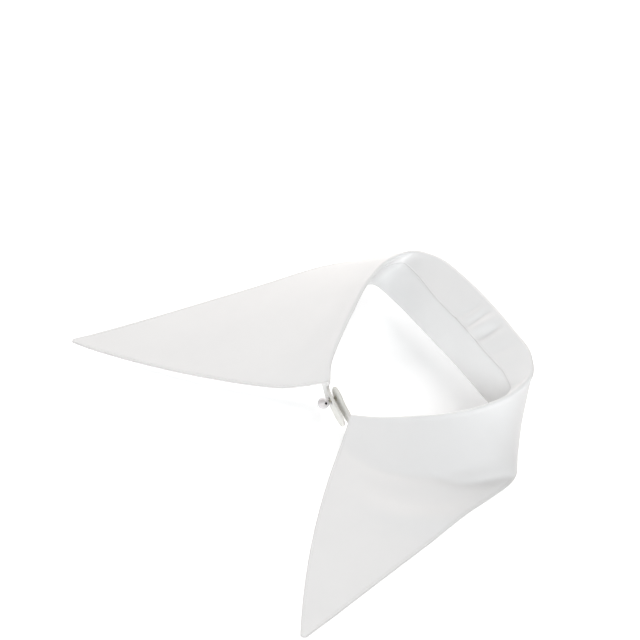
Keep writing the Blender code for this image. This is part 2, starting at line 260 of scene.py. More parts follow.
# %% Spacing of the grid
EDGE_STEPS = np.array((
    0.0, 0.05, 0.16, 0.34, 0.6, 0.9, 1.2, 1.45, 1.7,
    1.95, 2.25, 2.7, 3.4, 4.3, 5.0, 5.7, 6.6,
))
NECK_STEP = 1.6               # between stations away from the edges, mm
RISE_STEPS = 16               # seam to roll
ROLL_STEPS = 12               # over the roll
FALL_STEPS = 62               # roll to the strip along the edge
BAND_STEPS = 12               # across the middle of the band


def closer_at_ends(length, steps):
    """Places along a length, close together near both ends."""
    reach = EDGE_STEPS[-1]
    middle = np.linspace(reach, length - reach, steps + 1)[1:-1]
    return np.concatenate([EDGE_STEPS, middle, length - EDGE_STEPS[::-1]])


leaf_stations = closer_at_ends(NECK_LENGTH, int(NECK_LENGTH / NECK_STEP))
print("Leaf stations:", len(leaf_stations))

# %% [markdown]
# ## Seam and roll
# The leaf and the band meet at the seam, where the leaf's edge is caught between the band's
# two plies. So the band's edge stops on the seam line, and the leaf's edge goes a little way
# into it. The roll is an arc of a circle that touches the rise and the fall.

# %% Lines of the neck
LEAF_THICKNESS = 1.2
BAND_THICKNESS = 1.6
SEAM_TUCK = 0.45              # how far the leaf goes into the band, mm
ROLL_RADIUS = 1.1
ROLL_LOOK_AHEAD = 9.0         # the fall's direction at the roll is read this far down, mm
ROLL_SHARE_OF_RISE = 0.8
FALL_STEP_LEAST = 1.0         # least step from the roll to the fall's next point, mm
VALLEY_SOFTNESS = 0.16
PROFILE_POINTS = 161


def neck_lines(where):
    """Roll top, seam line and the band's bottom edge."""
    neck = read_table(NECK_ROWS, NECK_COLUMNS, NECK_KNOTS, where)
    top = np.stack([neck["x"], neck["y"], neck["z"]], axis=1)
    low = np.stack([neck["low_x"], neck["low_y"], neck["low_z"]], axis=1)
    along = unit(np.gradient(top[:, :2], where, axis=0))
    inward = np.stack([along[:, 1], -along[:, 0], np.zeros(len(along))], axis=1)
    seam = top + (low - top) * neck["seam_share"][:, None] + inward * neck["seam_in"][:, None]
    return top, seam, low


def soft_tent(share, peak):
    """A tent from 0 at both ends to 1 at the peak, with its ridge rounded off."""
    def softened(a, b):
        return 0.5 * (a + b - np.sqrt((a - b) ** 2 + 4 * VALLEY_SOFTNESS**2))
    mixed = softened(share / peak, (1.0 - share) / (1.0 - peak))
    at_start = softened(0.0, 1.0 / (1.0 - peak))
    at_finish = softened(1.0 / peak, 0.0)
    return mixed - at_start * (1.0 - share) - at_finish * share


def fall_profile(top, edge, bend_at, bend_drop, bow):
    """One section of the leaf from the roll to its outer edge."""
    share = np.linspace(0.0, 1.0, PROFILE_POINTS)[:, None]
    line = top + (edge - top) * share
    forward = np.array([edge[1] - top[1], top[0] - edge[0], 0.0])
    forward = forward / np.linalg.norm(forward) * (-1.0 if forward[1] > 0 else 1.0)
    line = line + forward * bow * 4.0 * share * (1.0 - share)
    line[:, 2] -= bend_drop * soft_tent(share[:, 0], bend_at)
    return line


def at_lengths(points, wanted):
    """Points at the asked distances along a line of points."""
    length = lengths_along(points)
    return np.stack([np.interp(wanted, length, points[:, axis]) for axis in range(3)], axis=1)


def leaf_section(top, seam, profile):
    """Seam, rise, roll and fall as one line of points across the leaf."""
    ahead = at_lengths(profile, [ROLL_LOOK_AHEAD])[0]
    to_seam = unit(seam - top)
    to_fall = unit(ahead - top)
    half = 0.5 * math.acos(float(np.clip(to_seam @ to_fall, -1.0, 1.0)))
    rise = np.linalg.norm(seam - top)
    radius = min(ROLL_RADIUS, ROLL_SHARE_OF_RISE * rise * math.tan(half))
    inward = unit(to_seam + to_fall)
    corner = top - inward * radius * (1.0 / math.sin(half) - 1.0)
    reach = radius / math.tan(half)
    centre = corner + inward * radius / math.sin(half)
    first = corner + to_seam * reach
    last = corner + to_fall * reach
    bottom = seam + to_seam * SEAM_TUCK
    rise_part = [bottom + (first - bottom) * step / RISE_STEPS for step in range(RISE_STEPS)]
    arm_a = first - centre
    arm_b = last - centre
    swing = math.acos(float(np.clip(unit(arm_a) @ unit(arm_b), -1.0, 1.0)))
    roll_part = []
    for step in range(ROLL_STEPS + 1):
        angle = swing * step / ROLL_STEPS
        mix = math.sin(swing - angle) * arm_a + math.sin(angle) * arm_b
        roll_part.append(centre + mix / math.sin(swing))
    beyond = profile[np.linalg.norm(profile - top, axis=1) > reach + FALL_STEP_LEAST]
    fall = np.concatenate([[last], beyond])
    length = lengths_along(fall)[-1]
    wide_part = (length - EDGE_STEPS[-1]) * np.linspace(0.0, 1.0, FALL_STEPS + 1)[1:-1]
    fall_part = at_lengths(fall, np.concatenate([wide_part, length - EDGE_STEPS[::-1]]))
    return np.concatenate([rise_part, roll_part, fall_part])


print("Rise, roll and fall steps:", RISE_STEPS, ROLL_STEPS, FALL_STEPS + len(EDGE_STEPS) - 2)

# %% [markdown]
# ## The leaf's outer edge
# At the back the leaf hangs straight down and its edge stands on the table. Towards the front
# it swings out into two long points that lie on the table at their tips. The two halves
# differ, because the collar leans a little: the wearer's right side flares, and the left side
# falls steeply and then turns out in a soft valley.
#
# x, y and z place the edge. bend_at is how far down the leaf its soft bend lies, as a share of
# the depth, bend_drop how far the bend lies below the straight line, in mm, and bow how far the
# section's middle swings towards the front, in mm.

# %% Leaf table
LEAF_COLUMNS = ("x", "y", "z", "bend_at", "bend_drop", "bow")
LEAF_ROWS = (
    (-143.7, -173.5, -0.3, 0.16,  8.0, 7.5),    # right point
    (-136.0, -130.0, 2.0, 0.20,  7.5, 5.0),
    (-130.6,  -90.0, 3.4, 0.28,  6.5, 2.5),
    (-125.4,  -50.0, 4.8, 0.40,  4.5, 1.0),
    (-120.0,   -8.0, 6.6, 0.55,  2.0, 0.0),    # right hem corner
    (-112.0,   15.0, 7.6, 0.60, -1.5, 0.0),
    (-98.0,    41.0, 8.6, 0.60, -1.5, 0.0),
    (-70.0,    57.0, 4.0, 0.60,  0.0, 0.0),
    (-34.0,    60.5, -0.4, 0.60,  0.0, 0.0),
    (-3.0,     58.5, -0.4, 0.60,  0.0, 0.0),    # centre back
    (20.0,     53.0, -0.4, 0.60,  0.0, 0.0),
    (40.0,     42.0, -0.4, 0.60,  0.0, 0.0),
    (59.0,     26.5, -0.4, 0.60,  0.0, 0.0),
    (78.0,     12.0, -0.4, 0.65,  0.5, 0.0),
    (96.5,     -2.5, 1.0, 0.75,  2.0, 0.0),    # left hem corner
    (109.3,   -45.0, 2.2, 0.48,  6.5, 1.0),
    (120.5,   -86.0, 2.0, 0.32,  7.0, 2.5),
    (131.5,  -127.0, 1.2, 0.20,  6.0, 4.5),
    (143.7,  -172.6, -0.3, 0.12,  4.5, 6.5),    # left point
)
LYING_SLOPE = 0.7             # upward part of a cloth's normal, above which it lies on the table


def leaf_grid(where):
    """The leaf's middle surface: one row of points for each station along the neck."""
    top, seam, _ = neck_lines(where)
    leaf = read_table(LEAF_ROWS, LEAF_COLUMNS, NECK_KNOTS, where)
    edge = np.stack([leaf["x"], leaf["y"], leaf["z"]], axis=1)
    rows = []
    for index in range(len(where)):
        bend = (leaf["bend_at"][index], leaf["bend_drop"][index], leaf["bow"][index])
        profile = fall_profile(top[index], edge[index], *bend)
        rows.append(leaf_section(top[index], seam[index], profile))
    return np.array(rows)


def grid_normals(grid):
    """Unit normals of a grid of points, on the side of the cloth that shows."""
    along = np.gradient(grid, axis=0)
    across = np.gradient(grid, axis=1)
    return unit(np.cross(along, across))


leaf_middle = leaf_grid(leaf_stations)
print("Leaf grid:", leaf_middle.shape[:2])

# %% [markdown]
# ## Creases in the leaf
# Starched cotton doesn't drape. It keeps shallow dents where it was bent, ironed and buttoned, and
# it puckers where the rise has to turn the back of the neck. A cloth simulation would give a limp
# collar, so each crease is placed one by one: a soft trough (negative height) or ridge (positive),
# with its own length, width and slant, fading out at both ends.
#
# Cross creases run from the seam or the roll towards an edge. at_start and at_end are places
# round the neck, in mm from the centre back (the wearer's left is positive), and from_across
# and to_across run from -1 at the seam through 0 at the roll to 1 at the outer edge. Long
# creases run along the collar instead.

# %% Crease tables
CROSS_COLUMNS = ("at_start", "at_end", "half_width", "height", "from_across", "to_across")
CROSS_CREASES = (
    (-7.5,  -1.5, 2.6, -1.15, -1.10, -0.10),    # puckers in the rise, centre back
    (-2.5,   2.0, 1.8,  0.55, -0.95, -0.20),
    (3.0,    6.0, 1.9, -1.40, -1.05, -0.08),
    (8.5,   14.0, 3.0,  1.90, -1.12, -0.04),
    (15.5,  20.5, 2.4, -1.35, -1.05, -0.10),
    (21.5,  25.5, 2.0,  0.45, -1.00, -0.25),
    (31.0,  37.5, 3.4, -0.90, -1.05, -0.12),
    (41.0,  45.0, 3.5,  0.20, -0.95, -0.20),
    (-34.0, -29.0, 5.0, -0.20, -1.05, -0.15),
    (-52.0, -49.0, 4.0,  0.18, -1.00, -0.20),
    (-78.0, -71.0, 3.5, -0.26, -1.05, -0.15),   # the right back corner turns
    (-88.0, -84.0, 4.0,  0.22, -0.95, -0.20),
    (66.0,  72.0, 3.0, -0.28, -1.05, -0.12),    # the left back corner turns
    (79.0,  82.0, 4.0,  0.20, -1.00, -0.20),
    (-96.0, -92.0, 7.0, -0.45, 0.10,  1.05),    # the fall, right side
    (-70.0, -66.0, 6.0,  0.35, 0.05,  0.90),
    (-38.0, -41.0, 7.0, -0.40, 0.12,  1.10),
    (-12.0, -6.0, 5.0,  0.30, 0.20,  1.05),     # the fall, centre back
    (17.0,  21.0, 6.5, -0.38, 0.10,  0.95),
    (43.0,  38.0, 6.0,  0.34, 0.15,  1.10),
    (71.0,  74.0, 6.0, -0.36, 0.08,  0.90),
)
LONG_COLUMNS = ("at_start", "at_end", "across_start", "across_end", "half_width", "height")
LONG_CREASES = (
    (-168.0, -118.0, 0.34, 0.42, 9.0, -0.50),   # right wing, a broad dip
    (-178.0, -140.0, 0.62, 0.70, 11.0, 0.35),
    (-181.0, -120.0, 0.17, 0.22, 7.0, 0.95),    # right wing, bright swell near the roll
    (-60.0,  40.0, 0.55, 0.48, 9.0, 0.30),      # back, a low swell half way down
    (86.0,  134.0, 1.20, 0.44, 3.4, -1.60),     # left wing, the crisp end of the valley
    (106.0, 184.0, 0.66, 0.10, 4.5, -1.20),
    (92.0,  172.0, 1.34, 0.36, 9.0, 2.60),      # and the wing's swell below it
)


ROLL_FROM = -0.06             # where the roll starts and ends, between seam and edge
ROLL_TO = 0.02
FADE_POWER = 0.8


def faded(share):
    """1 in the middle of a crease, falling smoothly to 0 at both ends."""
    inside = np.clip(share, 0.0, 1.0)
    return np.sin(np.pi * inside) ** FADE_POWER * (share > 0.0) * (share < 1.0)


def bell(off, half_width):
    """A crease's soft profile across its line."""
    return np.exp(-((off / half_width) ** 2))


def leaf_across():
    """-1 at the seam, 0 on the roll and 1 at the outer edge, for each point of a section."""
    fall_count = leaf_middle.shape[1] - RISE_STEPS - ROLL_STEPS - 1
    rise = np.linspace(-1.0, ROLL_FROM, RISE_STEPS + 1)[:-1]
    roll = np.linspace(ROLL_FROM, ROLL_TO, ROLL_STEPS + 1)
    fall_steps = np.diff(leaf_middle[:, -fall_count - 1:], axis=1)
    fall_lengths = np.median(np.linalg.norm(fall_steps, axis=2), axis=0)
    fall = ROLL_TO + (1.0 - ROLL_TO) * np.cumsum(fall_lengths) / fall_lengths.sum()
    return np.concatenate([rise, roll, fall])


def crease_heights(grid, neck_place, across):
    """How far each point of the leaf moves along its normal, in mm."""
    spread = np.linalg.norm(np.gradient(grid, neck_place, axis=0), axis=2)
    depth = np.zeros(grid.shape[:2])
    steps = np.diff(grid, axis=1, prepend=grid[:, :1])
    lengths = np.cumsum(np.linalg.norm(steps, axis=2), axis=1)
    on_fall = (across > 0.0)[None, :]
    for crease in named_rows(CROSS_CREASES, CROSS_COLUMNS):
        reach = crease["to_across"] - crease["from_across"]
        share = (across - crease["from_across"]) / reach
        line = crease["at_start"] + (crease["at_end"] - crease["at_start"]) * share
        off = (neck_place[:, None] - line[None, :]) * spread
        depth += crease["height"] * bell(off, crease["half_width"]) * faded(share)[None, :]
    for crease in named_rows(LONG_CREASES, LONG_COLUMNS):
        share = (neck_place - crease["at_start"]) / (crease["at_end"] - crease["at_start"])
        slant = crease["across_end"] - crease["across_start"]
        line = crease["across_start"] + slant * np.clip(share, 0.0, 1.0)
        middle = [np.interp(line[row], across, lengths[row]) for row in range(len(line))]
        off = lengths - np.array(middle)[:, None]
        shape = crease["height"] * bell(off, crease["half_width"]) * faded(share)[:, None]
        depth += shape * on_fall
    return depth


neck_place = leaf_stations - NECK_KNOTS[CENTRE_BACK_ROW]
ACROSS = leaf_across()
crease_depth = crease_heights(leaf_middle, neck_place, ACROSS)
leaf_middle = leaf_middle + grid_normals(leaf_middle) * crease_depth[:, :, None]
print("Creases:", len(CROSS_CREASES) + len(LONG_CREASES), "from", round(crease_depth.min(), 2),
      "to", round(crease_depth.max(), 2), "mm")

# %% [markdown]
# ## Round the two points
# A collar's point is sewn, trimmed and pushed out with a stick, so it is never quite sharp. The
# grid's corner is drawn back onto a small circle that touches both edges. Points on a ray from
# the circle's middle move together, so the grid stays in order.

# %% Blunt the points
POINT_RADIUS = 2.2
POINT_LOOK = 12.0


def blunt_point(grid, end):
    """Round off the leaf's point at one end of the grid (0 or -1)."""
    tip = grid[end, -1].copy()
    front_line = grid[end, ::-1]
    hem_line = grid[:, -1] if end == 0 else grid[::-1, -1]
    front = unit(at_lengths(front_line, [POINT_LOOK])[0] - tip)
    hem = unit(at_lengths(hem_line, [POINT_LOOK])[0] - tip)
    middle_way = unit(front + hem)
    side = unit(front - hem)
    half = 0.5 * math.acos(float(front @ hem))
    centre = POINT_RADIUS / math.sin(half)
    x = (grid - tip) @ middle_way - centre
    y = (grid - tip) @ side
    turn = np.arctan2(np.abs(y), -x)
    limit = math.pi / 2 - half
    near = (turn < limit) & (x < 0.0)
    scale = np.where(near, np.cos(limit - np.minimum(turn, limit)), 1.0)
    shift = scale - 1.0
    moved = grid + (shift * x)[:, :, None] * middle_way + (shift * y)[:, :, None] * side
    print("Point rounded by", round(float(np.linalg.norm(moved[end, -1] - tip)), 2), "mm")
    return moved


leaf_middle = blunt_point(blunt_point(leaf_middle, 0), -1)

# %% [markdown]
# ## From a surface to cloth
# The leaf is a shell about its middle surface. Half its thickness goes each way along the
# normal. The half thickness isn't the same everywhere: it closes like a half circle at the
# edge, it is a little more over the folded-in seam allowance, and it dips under the edge
# stitching. Distance to the nearest edge drives all three.

# %% Thickness from the edge distance
EDGE_LEAST = 0.10             # half thickness on the very edge, mm
ALLOWANCE_WIDTH = 5.2
ALLOWANCE_RISE = 0.06
ALLOWANCE_SOFTNESS = 0.45
STITCH_INSET = 1.7            # from the edge to the edge stitching, mm
STITCH_GROOVE = 0.10
GROOVE_HALF_WIDTH = 0.34
TINY = 1e-12                  # keeps a division safe


def edge_distance(grid, edges):
    """Each point's distance to the nearest of some edge lines, in mm."""
    points = grid.reshape(-1, 3)
    best = np.full(len(points), np.inf)
    for line in edges:
        for start, stop in zip(line[:-1], line[1:]):
            step = stop - start
            share = np.clip((points - start) @ step / max(step @ step, TINY), 0.0, 1.0)
            best = np.minimum(best, ((points - start - share[:, None] * step) ** 2).sum(axis=1))
    return np.sqrt(best).reshape(grid.shape[:2])


def half_thickness(distance, thickness, allowance_rise):
    """Half the cloth's thickness at each distance from the edge."""
    radius = thickness / 2
    closing = np.clip(distance / radius, 0.0, 1.0)
    rounded = radius * np.sqrt(1.0 - (1.0 - closing) ** 2)
    fold = allowance_rise / (1.0 + np.exp((distance - ALLOWANCE_WIDTH) / ALLOWANCE_SOFTNESS))
    groove = STITCH_GROOVE * np.exp(-(((distance - STITCH_INSET) / GROOVE_HALF_WIDTH) ** 2))
    return np.maximum(rounded, EDGE_LEAST) + (fold - groove) * closing


leaf_front_right = leaf_middle[0, RISE_STEPS:]
leaf_hem = leaf_middle[:, -1]
leaf_front_left = leaf_middle[-1, RISE_STEPS:]
leaf_edge_mm = edge_distance(leaf_middle, [leaf_front_right, leaf_hem, leaf_front_left])
front_only_mm = edge_distance(leaf_middle[:, :RISE_STEPS + 1], [leaf_middle[0], leaf_middle[-1]])
leaf_edge_mm[:, :RISE_STEPS + 1] = front_only_mm
leaf_half = half_thickness(leaf_edge_mm, LEAF_THICKNESS, ALLOWANCE_RISE)
print("Half thickness:", round(leaf_half.min(), 2), "to", round(leaf_half.max(), 2), "mm")

# %% [markdown]
# ## Flat pattern
# Weave has to run with the cloth's own threads, not with the room's axes, so the cloth needs a
# flat pattern. Starched cloth bends but doesn't stretch, so unwrapping the middle surface gives
# back nearly the shape that was cut. Blender's unwrap does that, and scaling the result to the
# surface's own area puts the pattern in millimetres.

# %% Unwrap a grid to its flat pattern
def grid_faces(count_u, count_v):
    """Quads of one layer of a grid."""
    at = np.arange(count_u * count_v).reshape(count_u, count_v)
    return np.stack([at[:-1, :-1], at[1:, :-1], at[1:, 1:], at[:-1, 1:]], axis=2).reshape(-1, 4)


def surface_area(points, faces):
    """Area of quads, laid flat or in space."""
    a, b, c, d = (points[faces[:, corner]] for corner in range(4))
    ac = c - a
    bd = d - b
    if points.shape[1] == 2:
        return 0.5 * np.abs(ac[:, 0] * bd[:, 1] - ac[:, 1] * bd[:, 0]).sum()
    return 0.5 * np.linalg.norm(np.cross(ac, bd), axis=1).sum()


def flat_pattern(grid):
    """The grid's points laid flat, in mm, with its middle section upright."""
    count_u, count_v = grid.shape[:2]
    faces = grid_faces(count_u, count_v)
    scratch = plain_mesh_object("pattern_scratch", grid.reshape(-1, 3) * MM, faces.tolist())
    scratch.data.uv_layers.new(name="pattern")
    bpy.context.view_layer.objects.active = scratch
    scratch.select_set(True)
    bpy.ops.object.mode_set(mode="EDIT")
    bpy.ops.mesh.select_all(action="SELECT")
    bpy.ops.uv.unwrap(method="ANGLE_BASED", margin=0.0)
    bpy.ops.object.mode_set(mode="OBJECT")
    corners = np.zeros(len(scratch.data.loops) * 2, np.float32)
    scratch.data.uv_layers["pattern"].uv.foreach_get("vector", corners)
    owners = np.zeros(len(scratch.data.loops), np.int32)
    scratch.data.loops.foreach_get("vertex_index", owners)
    flat = np.zeros((count_u * count_v, 2))
    flat[owners] = corners.reshape(-1, 2)
    bpy.data.objects.remove(scratch, do_unlink=True)
    flat *= math.sqrt(surface_area(grid.reshape(-1, 3), faces) / surface_area(flat, faces))
    flat = flat.reshape(count_u, count_v, 2)
    upright = flat[count_u // 2, -1] - flat[count_u // 2, 0]
    turn = math.pi / 2 - math.atan2(upright[1], upright[0])
    spin = np.array([[math.cos(turn), math.sin(turn)], [-math.sin(turn), math.cos(turn)]])
    return (flat - flat[count_u // 2, 0]) @ spin


leaf_flat = flat_pattern(leaf_middle)

# %% [markdown]
# ## Shader groups
# Three effects are shared by the fabrics, so each is a node group: the plain weave, the faint
# unevenness of starched cloth, and the mask of painted shade along an edge, which stands for the
# shade on the cloth's rounded edge.
# A group puts out only colours, masks, values and heights, and each material gives its own
# sizes. The Principled shader stays in the material.

# %% Helpers for node groups
def new_group(name, inputs, outputs):
    """An empty shader node group with named sockets, and its two end nodes."""
    group = bpy.data.node_groups.new(name, "ShaderNodeTree")
    for label, kind, value in inputs:
        socket = group.interface.new_socket(name=label, in_out="INPUT", socket_type=kind)
        if value is not None:
            socket.default_value = value
    for label, kind in outputs:
        group.interface.new_socket(name=label, in_out="OUTPUT", socket_type=kind)
    return group, group.nodes.new("NodeGroupInput"), group.nodes.new("NodeGroupOutput")


def math_node(tree, operation, first, second=None, clamp=False):
    """A math node fed by sockets or plain numbers; returns its output."""
    node = tree.nodes.new("ShaderNodeMath")
    node.operation = operation
    node.use_clamp = clamp
    for index, value in enumerate((first, second)):
        if isinstance(value, bpy.types.NodeSocket):
            tree.links.new(value, node.inputs[index])
        elif value is not None:
            node.inputs[index].default_value = value
    return node.outputs[0]


def noise_node(tree, place, scale, detail):
    """A noise texture; returns its value."""
    node = tree.nodes.new("ShaderNodeTexNoise")
    node.inputs["Scale"].default_value = scale
    node.inputs["Detail"].default_value = detail
    tree.links.new(place, node.inputs["Vector"])
    return node.outputs["Fac"]


def stretched(tree, place, scale):
    """Coordinates scaled by axis."""
    node = tree.nodes.new("ShaderNodeVectorMath")
    node.operation = "MULTIPLY"
    node.inputs[1].default_value = scale
    tree.links.new(place, node.inputs[0])
    return node.outputs["Vector"]


# %% Plain weave
FLOAT = "NodeSocketFloat"
VECTOR = "NodeSocketVector"
SLUB_ACROSS = 2.2             # thick and thin places, per mm across a thread and along it
SLUB_ALONG = 0.05
SLUB_SHADE = 0.8
weave_group, weave_in, weave_out = new_group(
    "plain_weave",
    [("Cloth", VECTOR, None), ("Thread Pitch", FLOAT, 0.3), ("Slub", FLOAT, 0.5)],
    [("Height", FLOAT), ("Thread Shade", FLOAT)],
)
split = weave_group.nodes.new("ShaderNodeSeparateXYZ")
weave_group.links.new(weave_in.outputs["Cloth"], split.inputs[0])
turns = math_node(weave_group, "DIVIDE", math.pi, weave_in.outputs["Thread Pitch"])
warp_turn = math_node(weave_group, "MULTIPLY", split.outputs["X"], turns)
weft_turn = math_node(weave_group, "MULTIPLY", split.outputs["Y"], turns)
warp = math_node(weave_group, "SINE", warp_turn)
weft = math_node(weave_group, "SINE", weft_turn)
over_under = math_node(weave_group, "MULTIPLY", warp, weft)
warp_place = stretched(weave_group, weave_in.outputs["Cloth"], (SLUB_ACROSS, SLUB_ALONG, 1.0))
weft_place = stretched(weave_group, weave_in.outputs["Cloth"], (SLUB_ALONG, SLUB_ACROSS, 1.0))
warp_slub = noise_node(weave_group, warp_place, 1.0, 2.0)
weft_slub = noise_node(weave_group, weft_place, 1.0, 2.0)
both_slubs = math_node(weave_group, "ADD", warp_slub, weft_slub)
slubs = math_node(weave_group, "SUBTRACT", both_slubs, 1.0)
slub_part = math_node(weave_group, "MULTIPLY", slubs, weave_in.outputs["Slub"])
weave_height = math_node(weave_group, "ADD", over_under, slub_part)
weave_group.links.new(weave_height, weave_out.inputs["Height"])
slub_shade = math_node(weave_group, "MULTIPLY", slub_part, SLUB_SHADE)
shade = math_node(weave_group, "ADD", slub_shade, 0.5, clamp=True)
weave_group.links.new(shade, weave_out.inputs["Thread Shade"])
print("Group:", weave_group.name)

# %% Starch tone
SMALL_PATCHES = 6.0           # small patches to each broad one
BROAD_SHARE = 0.7
SMALL_SHARE = 0.3
tone_group, tone_in, tone_out = new_group(
    "starch_tone",
    [("Place", VECTOR, None), ("Patch Scale", FLOAT, 22.0), ("Amount", FLOAT, 1.0)],
    [("Tone", FLOAT), ("Gloss Patch", FLOAT)],
)
scaled_place = tone_group.nodes.new("ShaderNodeVectorMath")
scaled_place.operation = "SCALE"
tone_group.links.new(tone_in.outputs["Place"], scaled_place.inputs[0])
tone_group.links.new(tone_in.outputs["Patch Scale"], scaled_place.inputs["Scale"])
broad = noise_node(tone_group, scaled_place.outputs["Vector"], 1.0, 3.0)
small = noise_node(tone_group, scaled_place.outputs["Vector"], SMALL_PATCHES, 4.0)
broad_part = math_node(tone_group, "MULTIPLY", broad, BROAD_SHARE)
small_part = math_node(tone_group, "MULTIPLY", small, SMALL_SHARE)
mixed = math_node(tone_group, "ADD", broad_part, small_part)
centred = math_node(tone_group, "SUBTRACT", mixed, 0.5)
spread_tone = math_node(tone_group, "MULTIPLY", centred, tone_in.outputs["Amount"])
tone_value = math_node(tone_group, "ADD", spread_tone, 0.5, clamp=True)
tone_group.links.new(tone_value, tone_out.inputs["Tone"])
tone_group.links.new(small, tone_out.inputs["Gloss Patch"])
print("Group:", tone_group.name)

# %% Edge mask
edge_group, edge_in, edge_out = new_group(
    "painted_edge_shade",
    [("Edge Distance", FLOAT, 0.0), ("Reach", FLOAT, 1.0)],
    [("Mask", FLOAT)],
)
ratio = math_node(edge_group, "DIVIDE", edge_in.outputs["Edge Distance"], edge_in.outputs["Reach"])
falling = math_node(edge_group, "SUBTRACT", 1.0, ratio, clamp=True)
edge_group.links.new(math_node(edge_group, "MULTIPLY", falling, falling), edge_out.inputs["Mask"])
print("Group:", edge_group.name)

# %% [markdown]
# ## Starched cotton
# The cloth is white cotton, starched and ironed: a fine plain weave, matt with a faint sheen from
# the iron, with shade painted a touch grey along its edges, and beige towards the band's free
# ends. The weave is far finer than the folds, so it is bump. The sheen is the same all over, so it
# is set on the shader itself.

# %% Cotton material
def mix_colour(tree, factor, first, second):
    """Mix two colours (sockets or values); returns the mixed colour."""
    node = tree.nodes.new("ShaderNodeMix")
    node.data_type = "RGBA"
    if isinstance(factor, bpy.types.NodeSocket):
        tree.links.new(factor, node.inputs["Factor"])
    else:
        node.inputs["Factor"].default_value = factor
    for index, value in ((6, first), (7, second)):
        if isinstance(value, bpy.types.NodeSocket):
            tree.links.new(value, node.inputs[index])
        else:
            node.inputs[index].default_value = value
    return node.outputs[2]


def group_node(tree, group, **values):
    """Place a node group with its own values."""
    node = tree.nodes.new("ShaderNodeGroup")
    node.node_tree = group
    set_inputs(node, **values)
    return node


def attribute_node(tree, name):
    """One of the mesh's own values; returns it."""
    node = tree.nodes.new("ShaderNodeAttribute")
    node.attribute_name = name
    return node.outputs["Fac"]


THREAD_SHADING = 0.12         # how much of each effect shows in the colour
EDGE_SHADING = 0.75
COTTON_ROUGHNESS = 0.66
GLOSS_CHANGE = 0.12
COTTON_SHINE = 0.32
COTTON_SHEEN = 0.12
SHEEN_ROUGHNESS = 0.45
WEAVE_STRENGTH = 0.22
WEAVE_HEIGHT = 0.00006        # of the bump, m
COTTON_PATCHES = 20.0
COTTON_UNEVENNESS = 1.1
COTTON_SLUB = 0.5
EDGE_REACH = 1.3              # of the greyer edge, mm


def cotton_material(name, white, grey, pitch):
    """Starched cotton, with its own whites and thread pitch."""
    material, tree, shader = new_material(name)
    cloth = tree.nodes.new("ShaderNodeUVMap")
    cloth.uv_map = "cloth"
    place = tree.nodes.new("ShaderNodeTexCoord")
    weave = group_node(tree, weave_group, Thread_Pitch=pitch, Slub=COTTON_SLUB)
    tone = group_node(tree, tone_group, Patch_Scale=COTTON_PATCHES, Amount=COTTON_UNEVENNESS)
    edge_shade = group_node(tree, edge_group, Reach=EDGE_REACH)
    tree.links.new(cloth.outputs["UV"], weave.inputs["Cloth"])
    tree.links.new(place.outputs["Object"], tone.inputs["Place"])
    tree.links.new(attribute_node(tree, "edge_mm"), edge_shade.inputs["Edge Distance"])
    body = mix_colour(tree, tone.outputs["Tone"], white, grey)
    thread_part = math_node(tree, "MULTIPLY", weave.outputs["Thread Shade"], THREAD_SHADING)
    threads = mix_colour(tree, thread_part, body, grey)
    # Painted shade: the colour goes grey near every edge, for the shade on the cloth's rounded
    # edge.
    edge_shade_part = math_node(tree, "MULTIPLY", edge_shade.outputs["Mask"], EDGE_SHADING)
    edge_shaded = mix_colour(tree, edge_shade_part, threads, LEAF_EDGE_SHADE)
    final = mix_colour(tree, attribute_node(tree, "beige_share"), edge_shaded, END_BEIGE)
    tree.links.new(final, shader.inputs["Base Color"])
    gloss = math_node(tree, "MULTIPLY", tone.outputs["Gloss Patch"], GLOSS_CHANGE)
    roughness = math_node(tree, "ADD", gloss, COTTON_ROUGHNESS)
    tree.links.new(roughness, shader.inputs["Roughness"])
    bump = tree.nodes.new("ShaderNodeBump")
    set_inputs(bump, Strength=WEAVE_STRENGTH, Distance=WEAVE_HEIGHT)
    tree.links.new(weave.outputs["Height"], bump.inputs["Height"])
    tree.links.new(bump.outputs["Normal"], shader.inputs["Normal"])
    set_inputs(shader, Sheen_Weight=COTTON_SHEEN, Sheen_Roughness=SHEEN_ROUGHNESS)
    set_inputs(shader, Specular_IOR_Level=COTTON_SHINE)
    return material


LEAF_WHITE = (0.850, 0.838, 0.832, 1.0)
LEAF_GREY = (0.800, 0.790, 0.788, 1.0)
LEAF_EDGE_SHADE = (0.60, 0.575, 0.565, 1.0)
BAND_WHITE = (0.80, 0.795, 0.79, 1.0)
BAND_GREY = (0.73, 0.725, 0.725, 1.0)
END_BEIGE = (0.70, 0.685, 0.645, 1.0)
LEAF_PITCH = 0.27             # between threads, mm
BAND_PITCH = 0.32
leaf_cotton = cotton_material("leaf_cotton", LEAF_WHITE, LEAF_GREY, LEAF_PITCH)
band_cotton = cotton_material("band_cotton", BAND_WHITE, BAND_GREY, BAND_PITCH)
print("Materials:", leaf_cotton.name, band_cotton.name)

# %% [markdown]
# ## Build the leaf
# Two layers of the grid, one on each side of the middle surface, are joined round the border
# into one closed shell. Anything that would go below the table is pressed flat on it, as the
# cloth is. The flat pattern becomes the piece's UV map, and the edge distance goes along as an
# attribute for the materials.

# %% Closed shell from a grid
LYING_SHARPNESS = 12.0        # how suddenly cloth counts as lying, past the lying slope


def pressed_on_table(grid, thickness):
    """Lift the cloth that lies on the table by half its thickness."""
    normals = grid_normals(grid)
    lying = np.clip((np.abs(normals[:, :, 2]) - LYING_SLOPE) * LYING_SHARPNESS, 0.0, 1.0)
    height = np.maximum(grid[:, :, 2], thickness / 2)
    pressed = grid.copy()
    pressed[:, :, 2] += (height - grid[:, :, 2]) * lying
    return pressed


